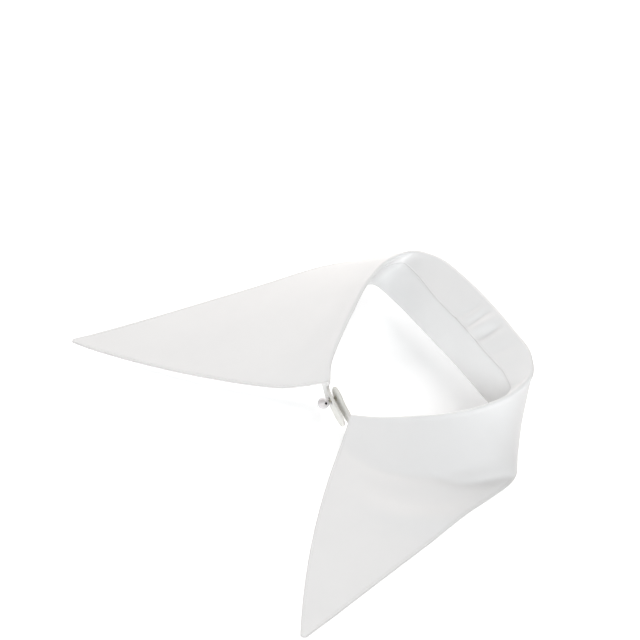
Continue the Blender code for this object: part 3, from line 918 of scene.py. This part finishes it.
def shell_faces(count_u, count_v):
    """Quads of a closed shell of two grid layers."""
    top = grid_faces(count_u, count_v)
    size = count_u * count_v
    under = top[:, ::-1] + size
    at = np.arange(size).reshape(count_u, count_v)
    border = np.concatenate([at[0, :], at[1:, -1], at[-1, -2::-1], at[-2:0:-1, 0]])
    after = np.roll(border, -1)
    sides = np.stack([border, after, after + size, border + size], axis=1)
    return np.concatenate([top, under, sides])


def to_row_frame(points):
    """Points of the section tables, in mm, as metres in the frame."""
    return (points + np.array([0.0, CENTRE_SHIFT, 0.0])) * MM


def set_values(mesh, name, values):
    """Store one number for each point of a mesh."""
    attribute = mesh.attributes.new(name, "FLOAT", "POINT")
    attribute.data.foreach_set("value", np.asarray(values, np.float32))


def set_cloth_map(mesh, flat):
    """Store each point's place in the flat pattern as a UV map in mm."""
    layer = mesh.uv_layers.new(name="cloth")
    owners = np.zeros(len(mesh.loops), np.int32)
    mesh.loops.foreach_get("vertex_index", owners)
    layer.uv.foreach_set("vector", flat[owners].astype(np.float32).ravel())


def fix_normals(piece):
    """Point all faces outwards and shade them smooth."""
    mesh = bmesh.new()
    mesh.from_mesh(piece.data)
    bmesh.ops.recalc_face_normals(mesh, faces=mesh.faces)
    mesh.to_mesh(piece.data)
    mesh.free()
    piece.data.shade_smooth()
    return piece


def cloth_shell(name, grid, half, flat, edge_mm, beige_share, material):
    """A closed piece of cloth about a grid, with its map and attributes."""
    normals = grid_normals(grid)
    sides = [grid + normals * half[:, :, None], grid - normals * half[:, :, None]]
    points = np.concatenate([side.reshape(-1, 3) for side in sides])
    points[:, 2] = np.maximum(points[:, 2], 0.0)
    count_u, count_v = grid.shape[:2]
    piece = plain_mesh_object(name, to_row_frame(points), shell_faces(count_u, count_v).tolist())
    fix_normals(piece)
    set_cloth_map(piece.data, np.tile(flat.reshape(-1, 2), (2, 1)))
    set_values(piece.data, "edge_mm", np.tile(edge_mm.ravel(), 2))
    set_values(piece.data, "beige_share", np.tile(beige_share.ravel(), 2))
    piece.data.materials.append(material)
    return piece


leaf_middle = pressed_on_table(leaf_middle, LEAF_THICKNESS)
leaf_beige_share = np.zeros(leaf_middle.shape[:2])
leaf = cloth_shell(
    "leaf_cloth", leaf_middle, leaf_half, leaf_flat, leaf_edge_mm, leaf_beige_share, leaf_cotton)
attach(leaf, "root")
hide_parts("leaf")
print("Leaf:", len(leaf.data.polygons), "quads")

# %% [markdown]
# ## Neck band
# The band is a straight strip that stands up inside the leaf. Past the front corners its two
# ends go on by themselves and cross, the wearer's right one outside. Each end's edges are
# smooth curves from the band's own edges through a short table, and close in a half circle.

# %% Band tables and grid
END_COLUMNS = ("x", "y", "high", "low")
RIGHT_END_ROWS = (
    (-9.0, -65.0, 15.4, 6.0),
    (-2.0, -66.3, 14.8, 4.6),
    (5.0,  -66.9, 12.8, 3.2),
    (12.0, -67.2, 10.6, 3.0),
)
LEFT_END_ROWS = (
    (11.0, -62.9, 12.5, 3.6),
    (4.0,  -62.0, 13.6, 4.0),
    (-4.0, -61.6, 17.8, 6.0),
    (-12.5, -60.6, 17.4, 7.6),
)
END_STEPS = 44
TIP_CLOSING = 0.998           # how far round the end's half circle goes
EDGE_MOST_SHARE = 0.4         # the edge strip's most, as a share of the band's height
COARSE_STATIONS = 61          # the outer two at each side give the way its free end sets off
END_PLACE = 30.0              # how far each free end counts beyond the neck's length, mm
BAND_CREASE_COLUMNS = ("at", "half_width", "height", "slant")
BAND_CREASES = (
    (-122.0, 7.0, 0.22, 5.0),
    (-84.0, 5.0, -0.30, -4.0),
    (-47.0, 9.0, 0.20, 3.0),
    (-11.0, 6.0, -0.22, -5.0),
    (26.0, 8.0, 0.24, 4.0),
    (61.0, 5.0, -0.28, 6.0),
    (104.0, 8.0, 0.22, -4.0),
)


def end_edges(rows, neck_upper, neck_lower):
    """Upper and lower edges of one free end, carried on from the band's last two stations."""
    table = table_columns(rows, END_COLUMNS)
    upper_rows = np.stack([table["x"], table["y"], table["high"]], axis=1)
    lower_rows = np.stack([table["x"], table["y"], table["low"]], axis=1)
    edges = []
    spacing = np.sin(np.linspace(0.0, math.pi / 2, END_STEPS + 1))
    for neck, own in ((neck_upper, upper_rows), (neck_lower, lower_rows)):
        points = np.concatenate([neck, own])
        knots = lengths_along(points)
        where = knots[1] + (knots[-1] - knots[1]) * spacing[1:]
        edge = [smooth_through(knots, points[:, axis], where) for axis in range(3)]
        edges.append(np.stack(edge, axis=1))
    upper, lower = edges
    middle = (upper + lower) / 2
    half_height = np.linalg.norm(upper[-1] - lower[-1]) / 2
    from_tip = np.linalg.norm(middle - middle[-1], axis=1)
    inside = np.clip(1.0 - from_tip / half_height, 0.0, TIP_CLOSING)
    narrowing = np.sqrt(1.0 - inside**2)[:, None]
    return middle + (upper - middle) * narrowing, middle + (lower - middle) * narrowing


def band_grid():
    """The band's middle surface from one free end round the neck to the other."""
    where = np.linspace(0.0, NECK_LENGTH, int(NECK_LENGTH / NECK_STEP) + 1)
    _, seam, low = neck_lines(where)
    coarse = np.linspace(0.0, NECK_LENGTH, COARSE_STATIONS)
    _, coarse_seam, coarse_low = neck_lines(coarse)
    right_upper, right_lower = end_edges(RIGHT_END_ROWS, coarse_seam[1::-1], coarse_low[1::-1])
    left_upper, left_lower = end_edges(LEFT_END_ROWS, coarse_seam[-2:], coarse_low[-2:])
    upper = np.concatenate([right_upper[::-1], seam, left_upper])
    lower = np.concatenate([right_lower[::-1], low, left_lower])
    height = np.linalg.norm(upper - lower, axis=1)
    inner = np.linspace(0.0, 1.0, BAND_STEPS + 2)[1:-1]
    most = EDGE_MOST_SHARE * EDGE_STEPS / EDGE_STEPS[-1]
    near = np.minimum(EDGE_STEPS[None, :] / height[:, None], most)
    last = near[:, -1:]
    middle = last + (1.0 - 2.0 * last) * inner[None, :]
    shares = np.concatenate([near, middle, 1.0 - near[:, ::-1]], axis=1)
    grid = upper[:, None, :] + (lower - upper)[:, None, :] * shares[:, :, None]
    before = -np.linspace(1, 0, END_STEPS, endpoint=False) * END_PLACE
    after = NECK_LENGTH + np.linspace(0, 1, END_STEPS + 1)[1:] * END_PLACE
    along = np.concatenate([before, where, after])
    return grid, along - NECK_KNOTS[CENTRE_BACK_ROW], shares


band_middle, band_place, band_shares = band_grid()
band_shift = np.zeros(band_middle.shape[:2])
for crease in named_rows(BAND_CREASES, BAND_CREASE_COLUMNS):
    off = band_place[:, None] - crease["at"] - crease["slant"] * (band_shares - 0.5)
    shape = crease["height"] * bell(off, crease["half_width"])
    band_shift += shape * np.sin(np.pi * band_shares)
band_middle = band_middle + grid_normals(band_middle) * band_shift[:, :, None]
print("Band grid:", band_middle.shape[:2])

# %% [markdown]
# ## Build the band
# The band is made as the leaf is: a flat pattern, a half thickness from the edge distance, a
# closed shell. It is thicker, because the leaf's edge is caught in it. Its colour turns a little
# beige towards its free ends.

# %% Band shell
BEIGE_START = 178.0         # from the centre back, where the band's ends start to yellow, mm
BEIGE_FADE = 12.0
BEIGE_MOST = 0.85

band_border = np.concatenate([band_middle[:, 0], band_middle[::-1, -1], band_middle[:1, 0]])
band_edge_mm = edge_distance(band_middle, [band_border])
band_half = half_thickness(band_edge_mm, BAND_THICKNESS, ALLOWANCE_RISE)
band_flat = flat_pattern(band_middle)
# The band's colour turns beige towards both free ends.
past_start = (np.abs(band_place) - BEIGE_START) / BEIGE_FADE
band_beige_share = BEIGE_MOST * np.clip(past_start, 0.0, 1.0)
band_beige_share = band_beige_share[:, None].repeat(band_middle.shape[1], axis=1)
band = cloth_shell(
    "neck_band_cloth", band_middle, band_half, band_flat, band_edge_mm, band_beige_share, band_cotton)

# %% [markdown]
# ## Buttonhole
# The outer end has a buttonhole just wide enough for the button's shank. It is cut with
# a Boolean, so it is open in the mesh too, and its modifier is applied so that the stitches
# can be laid on the cut cloth.

# %% Cut the buttonhole
BUTTON_X = -5.4
BUTTON_Z = 12.0
HOLE_LENGTH = 6.0
HOLE_WIDTH = 2.6
HOLE_Y = -66.4
HOLE_DEPTH = 5.4
HOLE_SEGMENTS = 40


def slot_outline(length, width, count):
    """Points round a round-ended slot in X and Z, with their outward directions."""
    straight = length - width
    around = 2 * straight + math.pi * width
    places = []
    for step in range(count):
        run = around * step / count
        if run < straight:
            places.append(((run - straight / 2, width / 2), (0.0, 1.0)))
        elif run < straight + math.pi * width / 2:
            turn = math.pi / 2 - (run - straight) / (width / 2)
            out = (math.cos(turn), math.sin(turn))
            places.append(((straight / 2 + out[0] * width / 2, out[1] * width / 2), out))
        elif run < 2 * straight + math.pi * width / 2:
            back = run - straight - math.pi * width / 2
            places.append(((straight / 2 - back, -width / 2), (0.0, -1.0)))
        else:
            turn = -math.pi / 2 - (run - 2 * straight - math.pi * width / 2) / (width / 2)
            out = (math.cos(turn), math.sin(turn))
            places.append(((-straight / 2 + out[0] * width / 2, out[1] * width / 2), out))
    return places


def cut_buttonhole(piece):
    """Cut the slot through the outer end and apply it."""
    outline = slot_outline(HOLE_LENGTH, HOLE_WIDTH, HOLE_SEGMENTS)
    ends = [HOLE_Y + side * HOLE_DEPTH / 2 for side in (-1, 1)]
    loops = [(BUTTON_X + x, y, BUTTON_Z + z) for y in ends for (x, z), _ in outline]
    points = to_row_frame(np.array(loops))
    count = len(outline)
    faces = [list(range(count)), list(range(2 * count - 1, count - 1, -1))]
    faces += [[i, (i + 1) % count, (i + 1) % count + count, i + count] for i in range(count)]
    cutter = fix_normals(plain_mesh_object("buttonhole_cutter", points, faces))
    cut = piece.modifiers.new("buttonhole", "BOOLEAN")
    cut.object = cutter
    cut.operation = "DIFFERENCE"
    cut.solver = "EXACT"
    bpy.context.view_layer.objects.active = piece
    before = len(piece.data.polygons)
    bpy.ops.object.modifier_apply(modifier=cut.name)
    bpy.data.objects.remove(cutter, do_unlink=True)
    print("Buttonhole cut:", before, "to", len(piece.data.polygons), "faces")


cut_buttonhole(band)
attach(band, "root")
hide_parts("neck_band")

# %% [markdown]
# ## Stitching
# Each stitch is a short bead of thread whose ends dive into the cloth. Hundreds of them follow
# a line a little in from the edge, on both faces. They are made together as one mesh: the line
# is walked in steps of one stitch, with a small seeded unevenness, and each step adds a closed
# tube of six sides.

# %% Stitch maker
STITCH_PITCH = 2.3
STITCH_LENGTH = 1.85
THREAD_RADIUS = 0.13
STITCH_RINGS = 6
STITCH_SIDES = 6
START_UNEVENNESS = 0.05       # of where a stitch starts, mm
RADIUS_UNEVENNESS = 0.04      # of its thread's radius, as a share
ARCH_POWER = 0.6
END_DEPTH = 0.9               # how deep a stitch's ends lie and how far its middle rises
ARCH_HEIGHT = 1.35            # above them, in thread radii
END_SHARE = 0.45              # of the radius at the ends; the arch adds the rest
ARCH_SHARE = 0.55
STITCH_SEED = 11
stitch_random = np.random.default_rng(STITCH_SEED)
THREAD_PATCHES = 900.0
THREAD_UNEVENNESS = 1.4
THREAD_WHITE = (0.82, 0.81, 0.80, 1.0)
THREAD_GREY = (0.70, 0.69, 0.68, 1.0)
THREAD_ROUGHNESS = 0.6
THREAD_SHEEN = 0.2

thread_cotton, thread_tree, thread_shader = new_material("thread_cotton")
thread_place = thread_tree.nodes.new("ShaderNodeTexCoord")
thread_tone = group_node(
    thread_tree, tone_group, Patch_Scale=THREAD_PATCHES, Amount=THREAD_UNEVENNESS)
thread_tree.links.new(thread_place.outputs["Object"], thread_tone.inputs["Place"])
thread_colour = mix_colour(
    thread_tree, thread_tone.outputs["Tone"], THREAD_WHITE, THREAD_GREY)
thread_tree.links.new(thread_colour, thread_shader.inputs["Base Color"])
set_inputs(thread_shader, Roughness=THREAD_ROUGHNESS, Sheen_Weight=THREAD_SHEEN)


def thread_tubes(centres, directions, ups, radii):
    """Closed tubes: centres is (tubes, rings, 3), radii is (tubes, rings)."""
    count, rings = centres.shape[:2]
    across = unit(np.cross(directions, ups))
    over = unit(np.cross(across, directions))
    turn = 2 * np.pi * np.arange(STITCH_SIDES) / STITCH_SIDES
    turn = turn[None, None, :, None]
    ring = np.cos(turn) * across[:, :, None] + np.sin(turn) * over[:, :, None]
    points = centres[:, :, None] + ring * radii[:, :, None, None]
    at = np.arange(count * rings * STITCH_SIDES).reshape(count, rings, STITCH_SIDES)
    beside = np.roll(at, -1, axis=2)
    walls = np.stack([at[:, :-1], beside[:, :-1], beside[:, 1:], at[:, 1:]], axis=3)
    walls = walls.reshape(-1, 4)
    caps = np.concatenate([at[:, 0, ::-1], at[:, -1]])
    return points.reshape(-1, 3), walls.tolist() + caps.tolist()


def values_along(wanted, length, values):
    """Three-part values on a line, read at the wanted lengths."""
    parts = [np.interp(wanted, length, values[:, axis]) for axis in range(3)]
    return np.stack(parts, axis=2)


def stitch_line(path, normals):
    """Stitches along a line that lies on the cloth, in mm."""
    length = lengths_along(path)
    count = int((length[-1] - STITCH_LENGTH) / STITCH_PITCH)
    starts = (length[-1] - count * STITCH_PITCH) / 2 + np.arange(count) * STITCH_PITCH
    starts = starts + stitch_random.normal(0.0, START_UNEVENNESS, count)
    shares = np.linspace(0.0, 1.0, STITCH_RINGS)
    wanted = starts[:, None] + STITCH_LENGTH * shares[None, :]
    centres = values_along(wanted, length, path)
    ups = unit(values_along(wanted, length, normals))
    arch = np.sin(np.pi * shares) ** ARCH_POWER
    lift = -THREAD_RADIUS * END_DEPTH + arch * THREAD_RADIUS * ARCH_HEIGHT
    centres = centres + ups * lift[None, :, None]
    directions = unit(np.gradient(centres, axis=1))
    uneven = 1.0 + stitch_random.normal(0.0, RADIUS_UNEVENNESS, (count, 1))
    radii = THREAD_RADIUS * (END_SHARE + ARCH_SHARE * arch)[None, :] * uneven
    return thread_tubes(centres, directions, ups, radii)


def join_parts(parts):
    """Several (points, faces) as one."""
    points = []
    faces = []
    first = 0
    for part_points, part_faces in parts:
        points.append(part_points)
        faces += [[corner + first for corner in face] for face in part_faces]
        first += len(part_points)
    return np.concatenate(points), faces


def thread_piece(name, parts):
    """One mesh of thread tubes, made of its cotton."""
    points, faces = join_parts(parts)
    piece = fix_normals(plain_mesh_object(name, to_row_frame(points), faces))
    piece.data.materials.append(thread_cotton)
    return piece

# %% Edge stitching on the leaf
CORNER_TRIM = 5.0             # where a line of stitches stops short, mm
ROLL_TRIM = 2.0
BAND_TRIM = 0.5
THREAD_LOWEST = 0.01          # above the table, mm


def half_at_stitches(thickness):
    """Half the cloth's thickness along its line of stitches."""
    inset = np.array([STITCH_INSET])
    return float(half_thickness(inset, thickness, ALLOWANCE_RISE)[0])


def edge_stitches(border, ups, inner, half, trim_start, trim_end):
    """Stitches on both faces of the cloth, inset from a border towards an inner line."""
    forward = unit(np.gradient(border, axis=0))
    inward = unit(np.cross(ups, forward))
    flip = np.sign((inward * (inner - border)).sum(axis=1))[:, None]
    line = border + inward * flip * STITCH_INSET
    length = lengths_along(line)
    keep = (length > trim_start) & (length < length[-1] - trim_end)
    parts = []
    for side in (1.0, -1.0):
        face_line = line[keep] + ups[keep] * half * side
        face_line[:, 2] = np.maximum(face_line[:, 2], 0.0)
        parts.append(stitch_line(face_line, ups[keep] * side))
    return parts


leaf_normals = grid_normals(leaf_middle)
leaf_stitch_half = half_at_stitches(LEAF_THICKNESS)
inner_step = len(EDGE_STEPS) - 1
from_roll = RISE_STEPS + ROLL_STEPS // 2
leaf_parts = []
for end, inner in ((0, inner_step), (-1, -1 - inner_step)):
    border, ups, inner_line = (
        lines[from_roll:] for lines in (leaf_middle[end], leaf_normals[end], leaf_middle[inner]))
    leaf_parts += edge_stitches(
        border, ups, inner_line, leaf_stitch_half, ROLL_TRIM, CORNER_TRIM)
leaf_parts += edge_stitches(
    leaf_middle[:, -1], leaf_normals[:, -1], leaf_middle[:, -1 - inner_step],
    leaf_stitch_half, CORNER_TRIM, CORNER_TRIM)
for points, _ in leaf_parts:
    points[:, 2] = np.maximum(points[:, 2], THREAD_LOWEST)
leaf_stitches = thread_piece("leaf_stitches", leaf_parts)
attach(leaf_stitches, "root")
print("Leaf stitches:", len(leaf_stitches.data.vertices) // (STITCH_RINGS * STITCH_SIDES))

# %% Edge stitching on the band
TIP_SKIP = 9                  # grid lines left out at each tip

band_normals = grid_normals(band_middle)
band_stitch_half = half_at_stitches(BAND_THICKNESS)
between_tips = slice(TIP_SKIP, -TIP_SKIP)
band_parts = []
for edge, inner in ((0, inner_step), (-1, -1 - inner_step)):
    border, ups, inner_line = (
        lines[between_tips] for lines in
        (band_middle[:, edge], band_normals[:, edge], band_middle[:, inner]))
    band_parts += edge_stitches(
        border, ups, inner_line, band_stitch_half, BAND_TRIM, BAND_TRIM)
band_stitches = thread_piece("band_stitches", band_parts)
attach(band_stitches, "root")
print("Band stitches:", len(band_stitches.data.vertices) // (STITCH_RINGS * STITCH_SIDES))

# %% [markdown]
# ## Buttonhole stitches
# A worked buttonhole has close bars of thread round the slot, each running outwards from the
# cut edge. Rays sent at the cut band find the cloth under each bar, so the bars lie on the
# bent cloth.

# %% Work the buttonhole
BAR_COUNT = 46
BAR_LENGTH = 1.15
BAR_RADIUS = 0.15
BAR_START = 0.05
RAY_START = 2.6               # how far from the hole's middle the rays set off, mm
RAY_LENGTH = 0.004            # m
BAR_ENDS = (0.06, 0.94)       # the part of an arch that a bar takes up
BAR_POWER = 0.5
BAR_SINK = 0.55               # how deep the foot of a bar's arch lies, in its radii
BAR_END_SHARE = 0.5           # of the radius at the arch's foot; the arch adds the rest
BAR_ARCH_SHARE = 0.5

band_tree = BVHTree.FromObject(band, bpy.context.evaluated_depsgraph_get())
bar_centres = []
bar_ups = []
for face_side in (-1, 1):
    for (x, z), out in slot_outline(HOLE_LENGTH, HOLE_WIDTH, BAR_COUNT):
        row = []
        for share in np.linspace(0.0, 1.0, STITCH_RINGS):
            reach = BAR_START + BAR_LENGTH * share
            far = HOLE_Y + face_side * RAY_START
            place = np.array([BUTTON_X + x + out[0] * reach, far, BUTTON_Z + z + out[1] * reach])
            start = Vector(to_row_frame(place))
            way = Vector((0.0, -face_side, 0.0))
            hit, _, _, _ = band_tree.ray_cast(start, way, RAY_LENGTH)
            missed = HOLE_Y + face_side * BAND_THICKNESS / 2
            place[1] = hit.y / MM - CENTRE_SHIFT if hit else missed
            row.append(place)
        bar_centres.append(row)
        bar_ups.append([(0.0, float(face_side), 0.0)] * STITCH_RINGS)
bar_centres = np.array(bar_centres)
bar_ups = np.array(bar_ups)
bar_arch = np.sin(np.pi * np.linspace(*BAR_ENDS, STITCH_RINGS)) ** BAR_POWER
bar_centres = bar_centres + bar_ups * (BAR_RADIUS * (bar_arch - BAR_SINK))[None, :, None]
bar_radii = BAR_RADIUS * (BAR_END_SHARE + BAR_ARCH_SHARE * bar_arch)[None, :]
bar_radii = bar_radii.repeat(len(bar_centres), axis=0)
bar_directions = unit(np.gradient(bar_centres, axis=1))
bar_tubes = thread_tubes(bar_centres, bar_directions, bar_ups, bar_radii)
buttonhole_stitches = thread_piece("buttonhole_stitches", [bar_tubes])
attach(buttonhole_stitches, "root")
print("Buttonhole bars:", len(bar_centres))

# %% [markdown]
# ## Ball button
# The button is a pearl-like ball with a drilled hole, on a shank of wound thread that is sewn
# to the inner end of the band. The ball is one profile turned about the hole's own axis: it
# starts at the hole's floor, comes up its wall and over a rounded lip, and goes on round the
# ball. So the hole is real and the ball is one closed body.

# %% Turn the ball
BALL_DIAMETER = 7.0
BUTTON_FOOT_Y = -62.9
BUTTON_REACH = 8.4
BALL_RINGS = 96
BORE_DIRECTION = (0.81, 0.09, 0.58)
BORE_RADIUS = 0.75
BORE_DEPTH = 1.5
BORE_LIP = 0.22
BORE_PROFILE = (              # its floor and wall, in bore radii and bore depths
    (0.0, 1.0),
    (0.85, 0.97),
    (1.0, 0.85),
    (1.0, 0.4),
)
LIP_STEPS = 6
BALL_PROFILE_POINTS = 44
POLE_RADIUS = 0.001           # keeps the profile's ends open for their small caps, mm

ball_middle = np.array([BUTTON_X, BUTTON_FOOT_Y - BUTTON_REACH, BUTTON_Z])


def turned_faces(rings, sides):
    """Quads of a turned body's rings, and a cap at each end."""
    at = np.arange(rings * sides).reshape(rings, sides)
    beside = np.roll(at, -1, axis=1)
    walls = np.stack([at[:-1], at[1:], beside[1:], beside[:-1]], axis=2).reshape(-1, 4)
    return walls.tolist() + [at[0].tolist(), at[-1][::-1].tolist()]


def drilled_ball():
    """A ball with a round hole drilled into it, as rings about the hole's axis."""
    axis = unit(np.array(BORE_DIRECTION))
    side = unit(np.cross(axis, [0.0, 0.0, 1.0]))
    other = np.cross(axis, side)
    ball = BALL_DIAMETER / 2
    lip = math.asin((BORE_RADIUS + BORE_LIP) / ball)
    profile = [(BORE_RADIUS * out, ball - BORE_DEPTH * deep) for out, deep in BORE_PROFILE]
    lip_height = ball * math.cos(lip)
    for step in range(1, LIP_STEPS):
        turn = math.pi / 2 * step / LIP_STEPS
        radius = BORE_RADIUS + BORE_LIP * (1 - math.cos(turn))
        profile.append((radius, lip_height - BORE_LIP * (1 - math.sin(turn))))
    for angle in np.linspace(lip, math.pi, BALL_PROFILE_POINTS):
        profile.append((ball * math.sin(angle), ball * math.cos(angle)))
    points = []
    for radius, height in profile:
        for step in range(BALL_RINGS):
            turn = 2 * math.pi * step / BALL_RINGS
            spoke = side * math.cos(turn) + other * math.sin(turn)
            points.append(ball_middle + axis * height + spoke * max(radius, POLE_RADIUS))
    return np.array(points), turned_faces(len(profile), BALL_RINGS)


ball_points, ball_faces = drilled_ball()
ball = fix_normals(plain_mesh_object("pearl_ball", to_row_frame(ball_points), ball_faces))
print("Ball:", len(ball.data.polygons), "faces")

# %% [markdown]
# ## Pearl
# The ball shines like a bead of glass-backed pearl: a pale grey body that turns a little rosier
# across it, with a painted bluish sheen towards its outline and a clear glossy coat. The drilled
# hole has painted shade inside, and that comes from a mask of how deep a point lies in the ball.

# %% Pearl material
PEARL_BODY = (0.62, 0.60, 0.60, 1.0)
PEARL_ROSE = (0.66, 0.58, 0.57, 1.0)
PEARL_SHEEN_BLUE = (0.56, 0.59, 0.64, 1.0)
BORE_PAINTED_SHADE = (0.02, 0.018, 0.015, 1.0)
PEARL_PATCHES = 180.0
PEARL_UNEVENNESS = 2.2
FACING_BLEND = 0.4
SHEEN_BLUE_SHARE = 0.6
BORE_SHADE_PER_MM = 3.0          # per mm of depth
PEARL_GLOSS_CHANGE = 0.08
PEARL_ROUGHNESS = 0.16
COAT = 0.6
COAT_ROUGHNESS = 0.06

from_middle = np.linalg.norm(ball_points - ball_middle, axis=1)
set_values(ball.data, "depth_mm", BALL_DIAMETER / 2 - from_middle)
pearl, pearl_tree, pearl_shader = new_material("pearl_glaze")
pearl_place = pearl_tree.nodes.new("ShaderNodeTexCoord")
pearl_tone = group_node(
    pearl_tree, tone_group, Patch_Scale=PEARL_PATCHES, Amount=PEARL_UNEVENNESS)
pearl_tree.links.new(pearl_place.outputs["Object"], pearl_tone.inputs["Place"])
# Painted sheen: the colour turns bluer towards the ball's outline, where its surface turns from
# view.
facing = pearl_tree.nodes.new("ShaderNodeLayerWeight")
set_inputs(facing, Blend=FACING_BLEND)
painted_sheen_part = math_node(pearl_tree, "MULTIPLY", facing.outputs["Facing"], SHEEN_BLUE_SHARE)
nacre = mix_colour(pearl_tree, pearl_tone.outputs["Tone"], PEARL_BODY, PEARL_ROSE)
nacre = mix_colour(pearl_tree, painted_sheen_part, nacre, PEARL_SHEEN_BLUE)
# Painted shade: the hole's inside goes nearly black with depth.
depth = attribute_node(pearl_tree, "depth_mm")
bore_shade = math_node(pearl_tree, "MULTIPLY", depth, BORE_SHADE_PER_MM, clamp=True)
pearl_colour = mix_colour(pearl_tree, bore_shade, nacre, BORE_PAINTED_SHADE)
pearl_tree.links.new(pearl_colour, pearl_shader.inputs["Base Color"])
gloss = math_node(pearl_tree, "MULTIPLY", pearl_tone.outputs["Gloss Patch"], PEARL_GLOSS_CHANGE)
roughness = math_node(pearl_tree, "ADD", gloss, PEARL_ROUGHNESS)
pearl_tree.links.new(roughness, pearl_shader.inputs["Roughness"])
set_inputs(pearl_shader, Coat_Weight=COAT, Coat_Roughness=COAT_ROUGHNESS)
ball.data.materials.append(pearl)
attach(ball, "root")
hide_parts("ball_button")

# %% [markdown]
# ## Shank
# The shank is button thread wound tightly round itself. A core with a helical ridge gives the
# winding: each point's radius depends on how far round and how far along the shank it is. It
# widens where it is sewn to the cloth, and its axis goes through the buttonhole.

# %% Wind the shank
SHANK_RADIUS = 0.95
WINDING_PITCH = 0.42
WINDING_DEPTH = 0.14
SHANK_SIDES = 28
SHANK_RINGS = 90
FOOT_RADIUS = 1.7
FOOT_SPREAD = 0.35
SHANK_INTO_BALL = 0.5
WINDING_POWER = 0.7
SHANK_PALE = (0.52, 0.49, 0.40, 1.0)
SHANK_DARK = (0.42, 0.39, 0.31, 1.0)

shank_end = ball_middle[1] + BALL_DIAMETER / 2 - SHANK_INTO_BALL
shank_rows = []
for y in np.linspace(BUTTON_FOOT_Y, shank_end, SHANK_RINGS):
    from_foot = BUTTON_FOOT_Y - y
    base = SHANK_RADIUS + (FOOT_RADIUS - SHANK_RADIUS) * bell(from_foot, FOOT_SPREAD)
    for step in range(SHANK_SIDES):
        turn = 2 * math.pi * step / SHANK_SIDES
        wave = abs(math.sin(math.pi * from_foot / WINDING_PITCH - turn / 2))
        radius = base - WINDING_DEPTH * (1.0 - wave**WINDING_POWER)
        across, up = radius * math.cos(turn), radius * math.sin(turn)
        shank_rows.append((BUTTON_X + across, y, BUTTON_Z + up))
shank_points = to_row_frame(np.array(shank_rows))
shank_faces = turned_faces(SHANK_RINGS, SHANK_SIDES)
shank = fix_normals(plain_mesh_object("thread_shank", shank_points, shank_faces))

shank_thread = thread_cotton.copy()
shank_thread.name = "shank_thread"
for node in shank_thread.node_tree.nodes:
    if node.type == "MIX":
        node.inputs[6].default_value = SHANK_PALE
        node.inputs[7].default_value = SHANK_DARK
shank.data.materials.append(shank_thread)
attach(shank, "root")
print("Shank:", round(BUTTON_FOOT_Y - shank_end, 2), "mm long")
